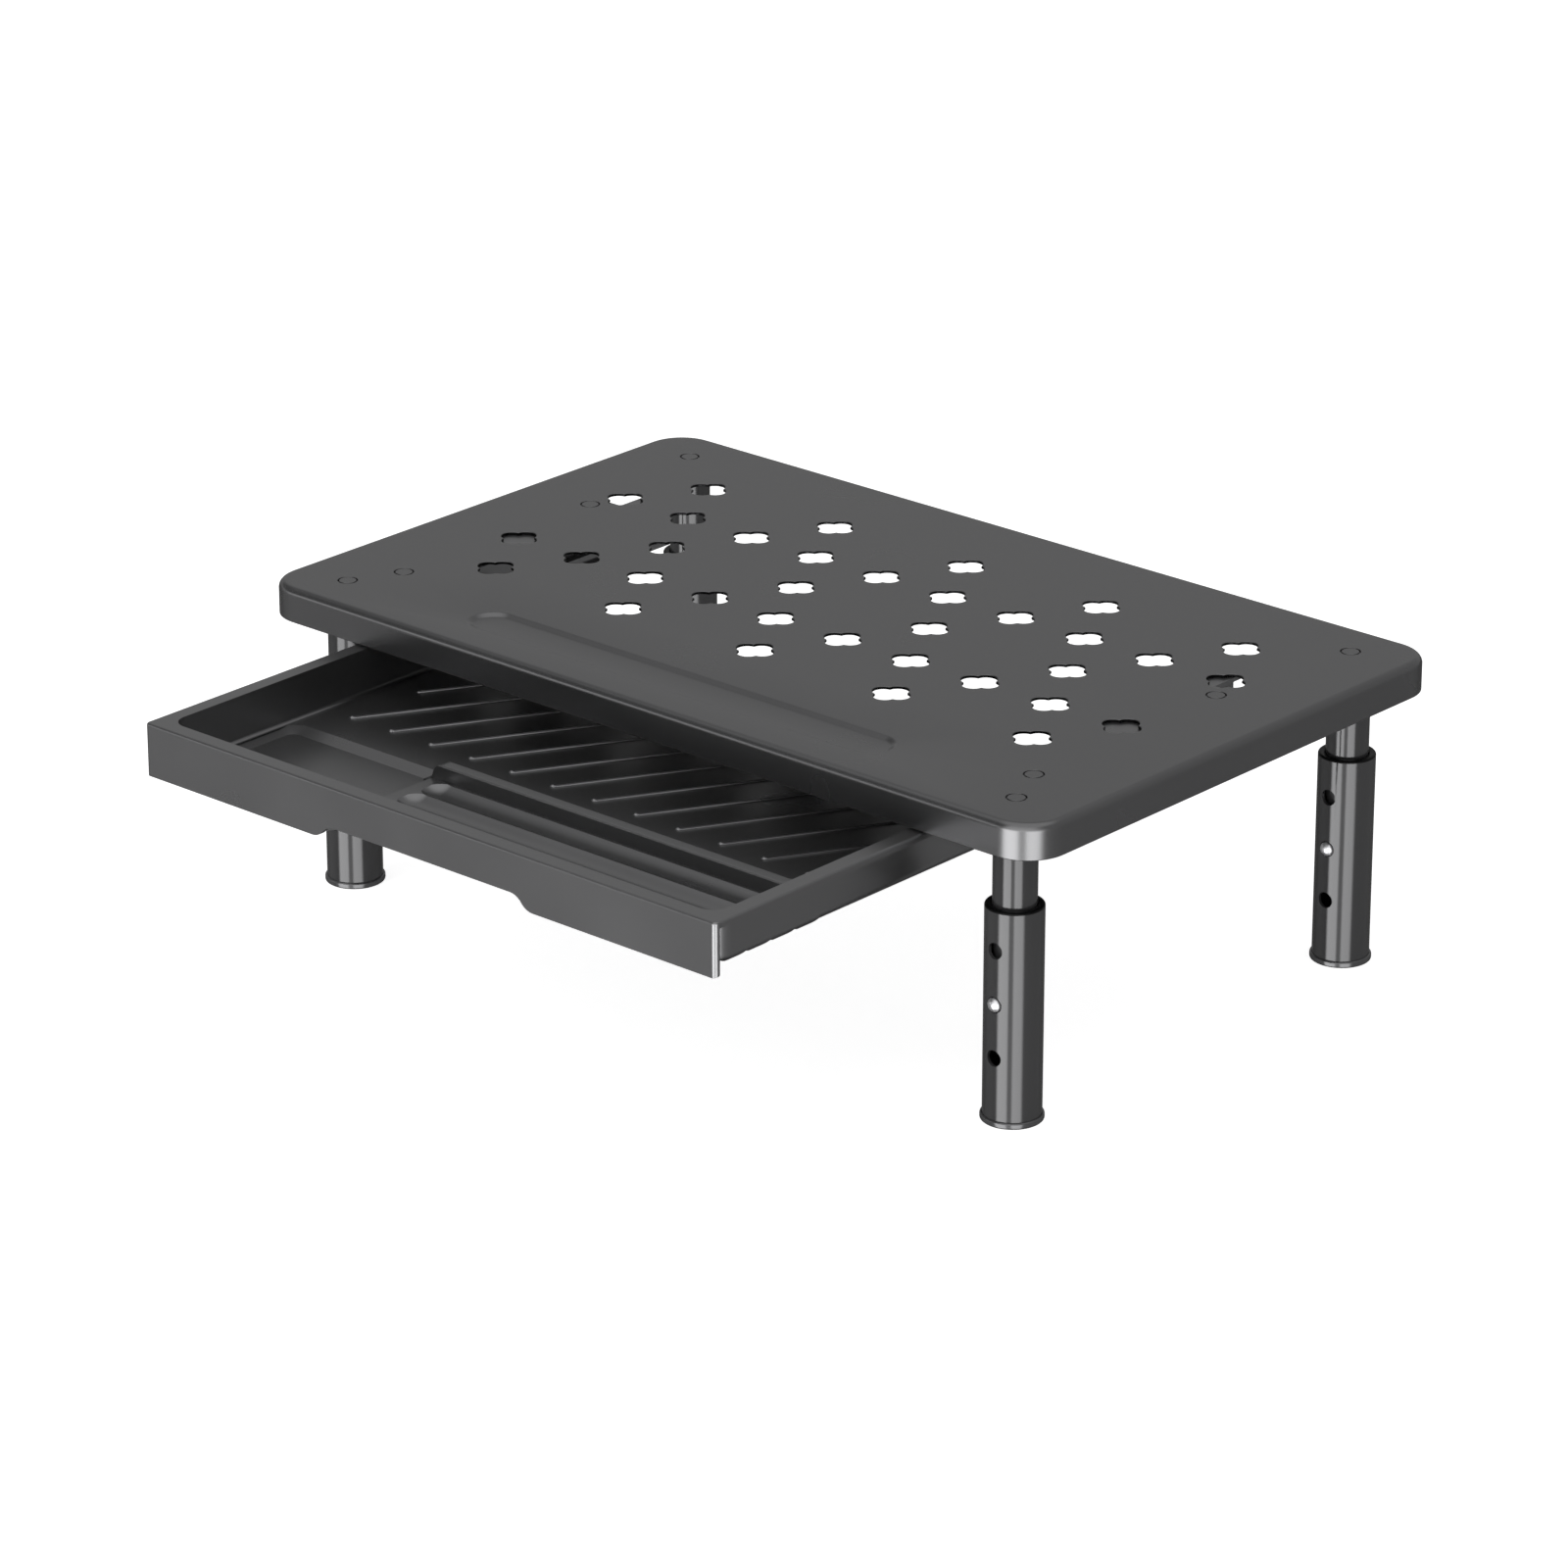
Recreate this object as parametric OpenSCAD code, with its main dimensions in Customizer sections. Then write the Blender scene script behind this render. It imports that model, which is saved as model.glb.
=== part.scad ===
// Desk riser for a laptop: a pressed steel platform on four legs that lock at three heights,
// with a moulded drawer that slides on two rails under it.
// Origin: on the desk, under the middle of the platform. The drawer opens towards -Y.

/* [Platform] */
// Width of the platform, left to right
deck_w = 370; // [330:1:430]
// Depth of the platform, front to back
deck_d = 228; // [215:1:270]
// Height of the top face above the desk, legs in the middle hole
deck_h = 119; // [112:0.5:126]
// Height of the skirt round the platform
skirt_h = 13; // [11:0.5:14]
// Plan radius of the platform's corners
corner_r = 16; // [12:0.5:24]
// Outside radius of the pressed edge between the top and the skirt
edge_r = 3; // [2:0.1:5]
// Thickness of the steel sheet
sheet_t = 1.2; // [0.8:0.1:1.6]

/* [Vents] */
// Radius of each lobe of a four-lobed vent
lobe_r = 4.07; // [3.8:0.01:4.8]
// Distance from the middle of a vent to the middle of each lobe
lobe_offset = 3.57; // [3.2:0.01:3.7]
// Spacing of the vent columns
vent_pitch_x = 16.13; // [14:0.01:17]
// Spacing of the vent rows
vent_pitch_y = 29.24; // [24:0.01:33]
// How far the vent field lies behind the middle of the platform
vent_shift = 11.2; // [8:0.1:16]

/* [Pen groove] */
// Length of the pressed groove along the front edge
groove_len = 198; // [120:1:220]
// Width of the groove
groove_w = 17; // [12:0.5:20]
// Depth of the groove
groove_depth = 1.2; // [0.6:0.1:1.6]
// Distance of the groove's middle from the front edge
groove_inset = 25.5; // [20:0.5:30]

/* [Legs] */
// Outside diameter of the lower tubes
lower_d = 21; // [20:0.1:23]
// Outside diameter of the upper tubes
upper_d = 15.7; // [15:0.1:16.4]
// Wall of the tubes
tube_wall = 1.2; // [1:0.1:1.4]
// Distance of each leg's middle from the side of the platform
leg_inset_x = 24.7; // [23:0.1:28]
// Distance of each leg's middle from the front or back of the platform
leg_inset_y = 20.7; // [19:0.1:24]
// Height of the lowest height hole above the desk
hole_h = 25.6; // [22:0.1:27]
// Spacing of the height holes, which is one step of height
hole_pitch = 20; // [16:0.5:20]
// Diameter of the height holes
hole_d = 6; // [5.6:0.1:7]
// How far the lower tube reaches above the top height hole
lower_head = 14.1; // [14:0.1:18]
// How far the upper tube reaches below its button
upper_tail = 17.6; // [16:0.1:18.5]
// Length of the threaded plug in the top of the upper tube
plug_len = 12; // [8:0.5:16]

/* [Guide bushes] */
// Thickness of the bush's flange on the end of the lower tube
bush_flange_t = 0.8; // [0.6:0.1:1.6]
// Length of the bush's sleeve inside the lower tube
bush_len = 10; // [6:0.5:10.5]
// Radial running clearance of the bush on the upper tube
bush_play = 0.05; // [0.03:0.01:0.09]

/* [Foot caps] */
// Diameter of the foot caps
foot_d = 22.6; // [22:0.1:25]
// Height of the cap outside the tube
foot_h = 2.4; // [2.2:0.1:6]
// Thickness of the cap under the tube
foot_floor_t = 1.6; // [1.2:0.1:2]
// Height of the cap's spigot inside the tube
foot_spigot_h = 4; // [2:0.1:4.5]
// Wall of the spigot
foot_spigot_wall = 1; // [0.8:0.1:1.4]
// Radius of the cap's rounded edges
foot_edge_r = 0.7; // [0.4:0.1:1]

/* [Height buttons] */
// Diameter of the button
button_d = 5.2; // [4.8:0.1:5.4]
// How far the button's tip stands out of the lower tube
button_proud = 1.7; // [1.2:0.1:2.2]
// Height of the button's domed tip
button_dome = 1.5; // [1:0.1:2]
// Width of the spring strip
leaf_w = 5; // [4:0.1:5.2]
// Thickness of the spring strip
leaf_t = 0.5; // [0.4:0.05:0.7]
// Length of the strip's straight arms above and below the button
leaf_arm = 6.5; // [4:0.1:7.5]

/* [Drawer] */
// Distance from the side of the platform to the edge of the drawer
drawer_inset = 48.5; // [46:0.5:56]
// Length of the drawer, front to back
drawer_len = 188; // [180:1:205]
// How far the drawer is pulled out, which is as far as its stops let it
drawer_out = 104; // [90:1:110]
// Gap between the skirt and the top of the drawer
drawer_gap = 0.5; // [0.4:0.1:1.5]
// How far the drawer's front stands out past the skirt when shut
drawer_proud = 0.5; // [0:0.1:2]
// Wall of the tray
wall_t = 1.5; // [1.2:0.1:2]
// Floor of the tray
floor_t = 1.6; // [1.2:0.1:2]
// Height of the tray's underside above the bottom edge of the front
tray_lift = 1.2; // [1.2:0.1:2]
// Plan radius of the tray's inner corners
tray_corner_r = 6.5; // [5:0.5:9]
// Outside radius of the tray's bottom edge
tray_edge_r = 3; // [2.4:0.1:4]

/* [Drawer front] */
// Height of the drawer's front
front_h = 20; // [18:0.5:24]
// Thickness of the front
front_t = 2; // [1.5:0.1:2.5]
// Width of the rim between the front's face and the tray
front_rim_w = 6.5; // [6:0.1:8]
// Radius of the front's and rim's rounded edges
rim_edge_r = 0.9; // [0.4:0.1:1]
// Plan radius of the front's corners
rim_corner_r = 1.9; // [1.2:0.1:3]
// Radius of the front's bottom corners
front_corner_r = 1.4; // [0.6:0.1:3]
// Width of the side flanges that run in the rails
flange_w = 5; // [4.6:0.1:6]
// Thickness of the flanges and the rim
flange_t = 2.3; // [2:0.1:3]
// Length of the level part of the finger cut-out
finger_len = 84.8; // [60:0.5:100]
// Height of the finger cut-out
finger_h = 5; // [4.6:0.1:7]
// Length of the curve at each end of the cut-out
finger_curve = 10.4; // [8:0.1:14]

/* [Pen tray] */
// Number of pen troughs
trough_count = 4; // [2:1:4]
// Spacing of the troughs
trough_pitch = 12.1; // [10:0.1:12.4]
// Depth of a trough
trough_depth = 1.8; // [1:0.1:2.2]
// Height of the crests between the troughs above the tray's floor
crest_h = 1.2; // [0.8:0.1:2]
// Thickness under the troughs
trough_wall = 1.5; // [1.2:0.1:1.8]
// Distance from the middle of the drawer to the troughs' left end
trough_left = 47; // [40:0.5:50]
// Width of the level ridge between the troughs and the pocket
ridge_w = 5; // [3:0.1:7]
// Gap between the front wall and the first trough
trough_gap = 2.25; // [1:0.05:4]

/* [Divider] */
// Height of the divider above the tray's floor
divider_h = 7.2; // [5:0.1:10]
// Thickness of the divider
divider_t = 5.5; // [4.6:0.1:7]
// Gap between the last trough and the divider
divider_gap = 0.9; // [0:0.1:3]
// Distance from the middle of the drawer to the top of the divider's left end
divider_left = 46.5; // [36:0.5:50]
// Length of the curve at the divider's left end
divider_curve = 9.2; // [7:0.1:12]
// Wall of the hollow divider
divider_wall = 1.5; // [1.2:0.1:1.8]
// Radius of the divider's top edges
divider_edge_r = 0.8; // [0.4:0.1:1.2]

/* [Pocket] */
// Depth of the pocket below the tray's floor
pocket_depth = 1.5; // [0.8:0.1:1.8]
// Width of the slope round the pocket
pocket_slope = 5.5; // [4:0.1:7]
// Distance from the face of the front to the top of the pocket's back slope
pocket_back = 66.3; // [50:0.1:72]
// Plan radius of the pocket's corners
pocket_corner_r = 9; // [7.5:0.1:14]
// Floor of the pocket
pocket_floor_t = 1.2; // [1:0.1:1.2]

/* [Floor ribs] */
// Spacing of the slanted ribs along the drawer's width
rib_pitch = 20; // [14:0.5:30]
// Width of a rib
rib_w = 2; // [1:0.1:3]
// Height of a rib
rib_h = 0.8; // [0.4:0.1:1.5]
// Angle of the ribs from the drawer's front, in degrees
rib_angle = 60; // [45:1:75]
// Distance of the ribbed field from the side and back walls
rib_margin = 13.5; // [8:0.5:20]
// Distance from the face of the front to the ribbed field
rib_start = 82.9; // [76:0.1:90]

/* [Rails] */
// Length of each rail
rail_len = 149; // [140:1:160]
// Distance from the front of the platform to the rails
rail_setback = 18; // [16:0.5:24]
// Running clearance of the drawer's flanges in the rails, up and down
slide_play = 0.3; // [0.3:0.05:0.5]
// Running clearance of the drawer's flanges in the rails, sideways
side_play = 0.5; // [0.4:0.05:0.8]
// Wall of the rails
rail_wall = 2; // [1.6:0.1:2.4]
// Thickness of the rail's top flange and ears
rail_plate_t = 1.5; // [1.2:0.1:2]
// How far the rail's top flange reaches out past its web
rail_plate_out = 4.7; // [4:0.1:6]
// How far the rail's top flange reaches in past its web
rail_plate_in = 1.5; // [1:0.1:2]
// How far the lips reach in from the web
lip_w = 3; // [2.6:0.1:3.4]
// Thickness of the lower lip
lower_lip_t = 3; // [2:0.1:3.5]
// Distance from the rail's web to the middle of its studs
ear_reach = 12.2; // [11.5:0.1:13]
// Radius of the ears round the studs
ear_r = 8.8; // [8:0.1:9]
// Distance from the rail's front end to its front stud
stud_front = 22.9; // [20:0.1:28]
// Distance from the rail's back end to its back stud
stud_back = 25.7; // [20:0.1:30]
// Size of the stop tooth on the drawer, along the slide
stop_len = 3; // [2:0.1:5]
// Size of the stop tooth and of the rail's lug, across the slide
stop_w = 2; // [1.4:0.1:2.2]
// Height of the stop tooth
stop_h = 3; // [2:0.1:3.4]

/* [Fasteners] */
// Diameter of the studs' heads, which lie flush in the platform
stud_head_d = 7.4; // [7:0.1:8.4]
// Diameter of the leg studs
leg_stud_d = 5.9; // [5:0.1:6.2]
// Length of the leg studs below the sheet
leg_stud_len = 10; // [7:0.1:11]
// Diameter of the rail studs
rail_stud_d = 3.9; // [3:0.1:4.2]
// Length of the rail studs below the sheet
rail_stud_len = 6; // [5.5:0.1:7]
// Width of the rail nuts across their flats
nut_flats = 7; // [6:0.1:8]
// Thickness of the rail nuts
nut_t = 3.2; // [2.4:0.1:3.4]
// Diameter of the nuts' washer faces
nut_washer_d = 9; // [8.4:0.1:10]
// Thickness of the nuts' washer faces
nut_washer_t = 0.8; // [0.6:0.1:1]

/* [Hidden] */
$fn = 64;

// How far a cut runs past the face it opens
overrun = 1;
// Gap between pieces that are pressed or screwed together
fit_gap = 0.05;
// Gap left at the drawer's stops
stop_gap = 0.3;

// Colours of the finishes
deck_grey = "#6b6b6c";
tube_grey = "#4a4a4b";
moulded_grey = "#5c5c5e";
bush_black = "#121213";
bright_steel = "#c4c4c6";

// Levels above the desk
sheet_under = deck_h - sheet_t;
skirt_bottom = deck_h - skirt_h;
drawer_top = skirt_bottom - drawer_gap;
front_bottom = drawer_top - front_h;
button_h = hole_h + hole_pitch;
lower_top = hole_h + 2 * hole_pitch + lower_head;
upper_bottom = button_h - upper_tail;

// Places in the plan
leg_x = deck_w / 2 - leg_inset_x;
leg_y = deck_d / 2 - leg_inset_y;
drawer_w = deck_w - 2 * drawer_inset;
drawer_face_y = -deck_d / 2 - drawer_proud - drawer_out;
web_x = drawer_w / 2 + side_play;
rail_front_y = -deck_d / 2 + rail_setback;
stud_x = web_x + rail_wall + ear_reach;
stud_ys = [rail_front_y + stud_front, rail_front_y + rail_len - stud_back];

// Radii of the tubes
lower_r = lower_d / 2;
lower_bore_r = lower_r - tube_wall;
upper_r = upper_d / 2;
upper_bore_r = upper_r - tube_wall;

// Sizes inside the drawer, measured from the face and the bottom edge of its front
tray_x = drawer_w / 2 - flange_w - wall_t;
tray_front = front_rim_w;
tray_back = drawer_len - wall_t;
floor_top = tray_lift + floor_t;
trough_start = tray_front + trough_gap;
divider_y = trough_start + trough_count * trough_pitch + divider_gap;
crest_top = floor_top + crest_h;
trough_bottom = crest_top - trough_depth;
trough_r = (trough_pitch * trough_pitch / 4 + trough_depth * trough_depth) / (2 * trough_depth);
ridge_left = trough_left + ridge_w;

// Rows and columns of the vent field, counted from its middle
vent_rows = 2;
vent_columns = 9;

// A vent stands where its row and column meet in a diamond pattern
function vent_here(i, j) =
    j % 2 != 0 ? abs(i) % 2 == 1 : abs(i) % 4 == (2 + abs(j)) % 4;

// Plan view of a plate with rounded corners
module rounded_plate(w, d, r) {
    square([w - 2 * r, d], center = true);
    square([w, d - 2 * r], center = true);
    for (sx = [-1, 1], sy = [-1, 1])
        translate([sx * (w / 2 - r), sy * (d / 2 - r)]) circle(r);
}

// Plan view of a long hole with round ends
module long_hole(len, w) {
    square([len - w, w], center = true);
    for (s = [-1, 1]) translate([s * (len - w) / 2, 0]) circle(w / 2);
}

// Half section of a block whose bottom edge is rounded, from its middle out to x = half
module edge_section(half, h, edge) {
    translate([0, edge]) square([half, h - edge]);
    square([half - edge, edge]);
    translate([half - edge, edge])
        intersection() {
            circle(edge);
            translate([0, -edge]) square(edge);
        }
}

// Block with rounded plan corners and a rounded bottom edge, standing on z = 0
module tub(w, d, h, corner, edge) {
    for (sx = [-1, 1], sy = [-1, 1])
        translate([sx * (w / 2 - corner), sy * (d / 2 - corner), 0])
            rotate_extrude() edge_section(corner, h, edge);
    for (turn = [0, 180]) {
        rotate([90, 0, turn])
            linear_extrude(d - 2 * corner, center = true) edge_section(w / 2, h, edge);
        rotate([90, 0, turn + 90])
            linear_extrude(w - 2 * corner, center = true) edge_section(d / 2, h, edge);
    }
}

// The same block with the rounded edge on top, its top face on z = 0
module cap(w, d, h, corner, edge) {
    mirror([0, 0, 1]) tub(w, d, h, corner, edge);
}

// Area under an S curve that falls from the given rise to nothing along the given run
module s_curve(run, rise) {
    arc_r = (run * run + rise * rise) / (4 * rise);
    intersection() {
        square([run / 2, rise]);
        translate([0, rise - arc_r]) circle(arc_r);
    }
    translate([run / 2, 0])
        difference() {
            square([run / 2, rise / 2]);
            translate([run / 2, arc_r]) circle(arc_r);
        }
}

// Shallow basin with sloping sides and round corners, its rim on z = 0
module basin(w, d, depth, corner, slope) {
    for (sx = [-1, 1], sy = [-1, 1])
        translate([sx * (w / 2 - corner), sy * (d / 2 - corner), -depth])
            cylinder(depth, corner - slope, corner);
    for (turn = [0, 90])
        rotate([90, 0, turn])
            linear_extrude((turn == 0 ? d : w) - 2 * corner, center = true)
                basin_section(turn == 0 ? w : d, depth, slope);
}

// Section across the basin
module basin_section(w, depth, slope) {
    polygon([[-w / 2, 0], [slope - w / 2, -depth], [w / 2 - slope, -depth], [w / 2, 0]]);
}

// Puts its children at each of the four rail studs
module at_rail_studs() {
    for (side = [-1, 1], y = stud_ys) translate([side * stud_x, y, 0]) children();
}

// Puts its children at each of the four legs
module at_legs() {
    for (sx = [-1, 1], sy = [-1, 1]) translate([sx * leg_x, sy * leg_y, 0]) children();
}

// Plan view of one four-lobed vent
module vent() {
    for (turn = [0:90:270]) rotate(turn) translate([lobe_offset, 0]) circle(lobe_r);
}

// Pressed platform: skirt, rounded edge, vents, pen groove and the holes of the flush studs
module deck() {
    color(deck_grey)
        difference() {
            union() {
                difference() {
                    translate([0, 0, deck_h]) cap(deck_w, deck_d, skirt_h, corner_r, edge_r);
                    translate([0, 0, sheet_under])
                        cap(deck_w - 2 * sheet_t, deck_d - 2 * sheet_t, skirt_h,
                            corner_r - sheet_t, edge_r - sheet_t);
                }
                groove_block(groove_len + 2 * sheet_t, groove_w + 2 * sheet_t,
                             deck_h - groove_depth - sheet_t, groove_depth + sheet_t / 2);
            }
            groove_block(groove_len, groove_w, deck_h - groove_depth, groove_depth + overrun);
            translate([0, vent_shift, skirt_bottom])
                linear_extrude(skirt_h + overrun)
                    for (i = [-vent_columns:vent_columns], j = [-vent_rows:vent_rows])
                        if (vent_here(i, j)) translate([i * vent_pitch_x, j * vent_pitch_y]) vent();
            at_legs() stud_hole();
            at_rail_studs() stud_hole();
        }
}

// Block with the groove's plan, from the given level up
module groove_block(len, w, z, h) {
    translate([0, groove_inset - deck_d / 2, z]) linear_extrude(h) long_hole(len, w);
}

// Hole in the sheet for one flush stud head
module stud_hole() {
    translate([0, 0, sheet_under - overrun])
        cylinder(sheet_t + 2 * overrun, r = stud_head_d / 2 + fit_gap);
}

// Flush stud: its head fills the sheet and its shank hangs below
module stud(d, len) {
    translate([0, 0, sheet_under]) cylinder(sheet_t, r = stud_head_d / 2);
    translate([0, 0, sheet_under - len]) cylinder(len, r = d / 2);
}

// Studs that the legs screw onto
module leg_studs() {
    color(bright_steel) at_legs() stud(leg_stud_d, leg_stud_len);
}

// Studs that hold the rails
module rail_studs() {
    color(bright_steel) at_rail_studs() stud(rail_stud_d, rail_stud_len);
}

// Flanged hexagon nuts under the rails' ears
module rail_nuts() {
    color(bright_steel)
        at_rail_studs()
            translate([0, 0, sheet_under - rail_plate_t - nut_t])
                difference() {
                    union() {
                        cylinder(nut_t, r = nut_flats / sqrt(3), $fn = 6);
                        translate([0, 0, nut_t - nut_washer_t])
                            cylinder(nut_washer_t, r = nut_washer_d / 2);
                    }
                    translate([0, 0, -overrun])
                        cylinder(nut_t + 2 * overrun, r = rail_stud_d / 2 + fit_gap);
                }
}

// Section of the right rail: top flange, web and the two lips that hold the drawer's flange
module rail_section() {
    lip_top = drawer_top + slide_play;
    lip_low = drawer_top - flange_t - slide_play;
    lower_edge = lip_low - lower_lip_t;
    translate([web_x, lower_edge]) square([rail_wall, sheet_under - lower_edge]);
    translate([web_x - rail_plate_in, sheet_under - rail_plate_t])
        square([rail_plate_in + rail_wall + rail_plate_out, rail_plate_t]);
    translate([web_x - lip_w, lip_top]) square([lip_w + rail_wall, rail_wall]);
    translate([web_x - lip_w, lower_edge]) square([lip_w + rail_wall, lower_lip_t]);
}

// Plan view of the right rail's ears, which reach out to the studs
module rail_ears() {
    difference() {
        union() {
            translate([web_x, stud_ys[0] - ear_r])
                square([stud_x - web_x, stud_ys[1] - stud_ys[0] + 2 * ear_r]);
            translate([web_x, stud_ys[0]])
                square([stud_x - web_x + ear_r, stud_ys[1] - stud_ys[0]]);
            for (y = stud_ys) translate([stud_x, y]) circle(ear_r);
        }
        for (y = stud_ys) translate([stud_x, y]) circle(rail_stud_d / 2 + fit_gap);
    }
}

// Right-hand rail, with the lug that stops the drawer
module right_rail() {
    lug_back = drawer_face_y + drawer_len - stop_len - stop_gap;
    translate([0, rail_front_y + rail_len, 0])
        rotate([90, 0, 0]) linear_extrude(rail_len) rail_section();
    translate([0, 0, sheet_under - rail_plate_t]) linear_extrude(rail_plate_t) rail_ears();
    translate([web_x - lip_w - stop_w, lug_back - 2 * stop_len,
               drawer_top - flange_t - slide_play - lower_lip_t])
        cube([stop_w + lip_w, 2 * stop_len, lower_lip_t]);
}

module rail_right() {
    color(moulded_grey) right_rail();
}

module rail_left() {
    color(moulded_grey) mirror([1, 0, 0]) right_rail();
}

// Upper tube of a leg, with the hole that its button comes out of
module upper_tube(sx, sy) {
    color(tube_grey)
        translate([sx * leg_x, sy * leg_y, upper_bottom])
            difference() {
                cylinder(sheet_under - upper_bottom, r = upper_r);
                translate([0, 0, -overrun])
                    cylinder(sheet_under - upper_bottom + 2 * overrun, r = upper_bore_r);
                translate([0, 0, upper_tail])
                    rotate([90, 0, 0]) cylinder(upper_r + overrun, r = (button_d + hole_d) / 4);
            }
}

// Threaded plug in the top of an upper tube, screwed onto the platform's stud
module leg_plug(sx, sy) {
    color(bush_black)
        translate([sx * leg_x, sy * leg_y, sheet_under - plug_len])
            difference() {
                cylinder(plug_len, r = upper_bore_r - fit_gap);
                translate([0, 0, -overrun])
                    cylinder(plug_len + 2 * overrun, r = leg_stud_d / 2 + fit_gap);
            }
}

// Lower tube of a leg, with its three height holes
module lower_tube(sx, sy) {
    color(tube_grey)
        translate([sx * leg_x, sy * leg_y, foot_floor_t])
            difference() {
                cylinder(lower_top - foot_floor_t, r = lower_r);
                translate([0, 0, -overrun])
                    cylinder(lower_top - foot_floor_t + 2 * overrun, r = lower_bore_r);
                for (step = [0:2])
                    translate([0, 0, hole_h + step * hole_pitch - foot_floor_t])
                        rotate([90, 0, 0]) cylinder(lower_r + overrun, r = hole_d / 2);
            }
}

// Guide bush in the top of a lower tube: a flange on the tube's end and a sleeve inside it
module guide_bush(sx, sy) {
    bore = upper_r + bush_play;
    color(bush_black)
        translate([sx * leg_x, sy * leg_y, lower_top])
            rotate_extrude()
                union() {
                    translate([bore, 0]) square([lower_r - bore, bush_flange_t]);
                    translate([bore, -bush_len])
                        square([lower_bore_r - fit_gap - bore, bush_len + bush_flange_t / 2]);
                }
}

// Foot cap round the bottom of a lower tube, with rounded edges and a spigot inside the tube
module foot_cap(sx, sy) {
    spigot_r = lower_bore_r - fit_gap;
    color(tube_grey)
        translate([sx * leg_x, sy * leg_y, 0])
            rotate_extrude()
                union() {
                    square([foot_d / 2 - foot_edge_r, foot_floor_t]);
                    difference() {
                        foot_rim();
                        translate([0, foot_floor_t]) square([lower_r + fit_gap, foot_h]);
                    }
                    translate([spigot_r - foot_spigot_wall, foot_floor_t / 2])
                        square([foot_spigot_wall, foot_floor_t / 2 + foot_spigot_h]);
                }
}

// Outline of the foot cap, from its middle out to its rounded rim
module foot_rim() {
    edge = foot_d / 2 - foot_edge_r;
    square([edge, foot_h]);
    translate([0, foot_edge_r]) square([foot_d / 2, foot_h - 2 * foot_edge_r]);
    for (z = [foot_edge_r, foot_h - foot_edge_r]) translate([edge, z]) circle(foot_edge_r);
}

// Snap button on its bent spring strip, inside an upper tube
module button_clip(sx, sy) {
    strip_y = sqrt((upper_bore_r - 2 * fit_gap) * (upper_bore_r - 2 * fit_gap) - leaf_w * leaf_w / 4);
    tip = lower_r + button_proud;
    color(bright_steel)
        translate([sx * leg_x, sy * leg_y, button_h]) {
            rotate([90, 0, 0]) {
                translate([0, 0, strip_y - leaf_t / 2])
                    cylinder(tip - button_dome - strip_y + leaf_t / 2, r = button_d / 2);
                translate([0, 0, tip - button_dome]) dome(button_d / 2, button_dome);
            }
            rotate([90, 0, 90])
                linear_extrude(leaf_w, center = true) strip_section(strip_y);
        }
}

// Cap of a ball with the given base radius and height, standing on z = 0
module dome(r, h) {
    ball_r = (r * r + h * h) / (2 * h);
    intersection() {
        translate([0, 0, h - ball_r]) sphere(ball_r);
        cylinder(h, r = r);
    }
}

// Side view of the spring strip: two straight arms joined by a half-round bend
module strip_section(half) {
    difference() {
        union() {
            translate([-half, -leaf_arm]) square([2 * half, 2 * leaf_arm]);
            translate([0, -leaf_arm]) circle(half);
        }
        translate([leaf_t - half, -leaf_arm]) square([2 * (half - leaf_t), 2 * leaf_arm + overrun]);
        translate([0, -leaf_arm]) circle(half - leaf_t);
    }
}

// Drawer, placed as far out as it is pulled
module drawer() {
    color(moulded_grey)
        translate([0, drawer_face_y, front_bottom])
            difference() {
                union() {
                    difference() {
                        union() {
                            drawer_rim();
                            tray_outside();
                            pocket_shell();
                        }
                        tray_inside();
                        finger_cut();
                        pocket();
                    }
                    pen_tray_block();
                    divider();
                    floor_ribs();
                    front_ribs();
                }
                troughs();
                divider_hollow();
            }
}

// Front and rim: one block with rounded edges, of which only the front plate and the top rim stay
module drawer_rim() {
    intersection() {
        translate([0, drawer_len / 2, front_h])
            cap(drawer_w, drawer_len, front_h, rim_corner_r, rim_edge_r);
        union() {
            translate([0, front_t, front_h])
                rotate([90, 0, 0])
                    linear_extrude(front_t) rounded_plate(drawer_w, 2 * front_h, front_corner_r);
            translate([-drawer_w / 2, 0, front_h - flange_t]) cube([drawer_w, drawer_len, flange_t]);
        }
    }
}

// Outside of the tray, with the stop teeth under its flanges
module tray_outside() {
    tray_tub(tray_lift);
    for (side = [-1, 1])
        translate([side * (tray_x + wall_t + stop_w / 2 - overrun / 2), drawer_len - stop_len / 2,
                   front_h - flange_t - stop_h / 2])
            cube([stop_w + overrun, stop_len, stop_h], center = true);
}

// Space inside the tray
module tray_inside() {
    translate([0, (tray_front + tray_back) / 2, floor_top])
        tub(2 * tray_x, tray_back - tray_front, front_h, tray_corner_r, tray_edge_r - wall_t);
}

// Cut-out for the fingers in the bottom edge of the front
module finger_cut() {
    translate([0, front_t + overrun, 0])
        rotate([90, 0, 0])
            linear_extrude(front_t + 2 * overrun) {
                translate([-finger_len / 2, -overrun]) square([finger_len, finger_h + overrun]);
                for (side = [0, 1])
                    mirror([side, 0]) translate([finger_len / 2, 0]) s_curve(finger_curve, finger_h);
            }
}

// Ribs that tie the front to the tray
module front_ribs() {
    rib_xs = [for (side = [-1, 1], share = rib_place_shares) side * share * drawer_w];
    for (x = rib_xs)
        translate([x - wall_t / 2, front_t / 2, tray_lift + tray_edge_r])
            cube([wall_t, front_rim_w - front_t / 2 - wall_t / 2,
                  front_h - flange_t / 2 - tray_lift - tray_edge_r]);
}

// Places of the ribs behind the front, as shares of the drawer's width
rib_place_shares = [0.25, 0.42];

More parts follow.
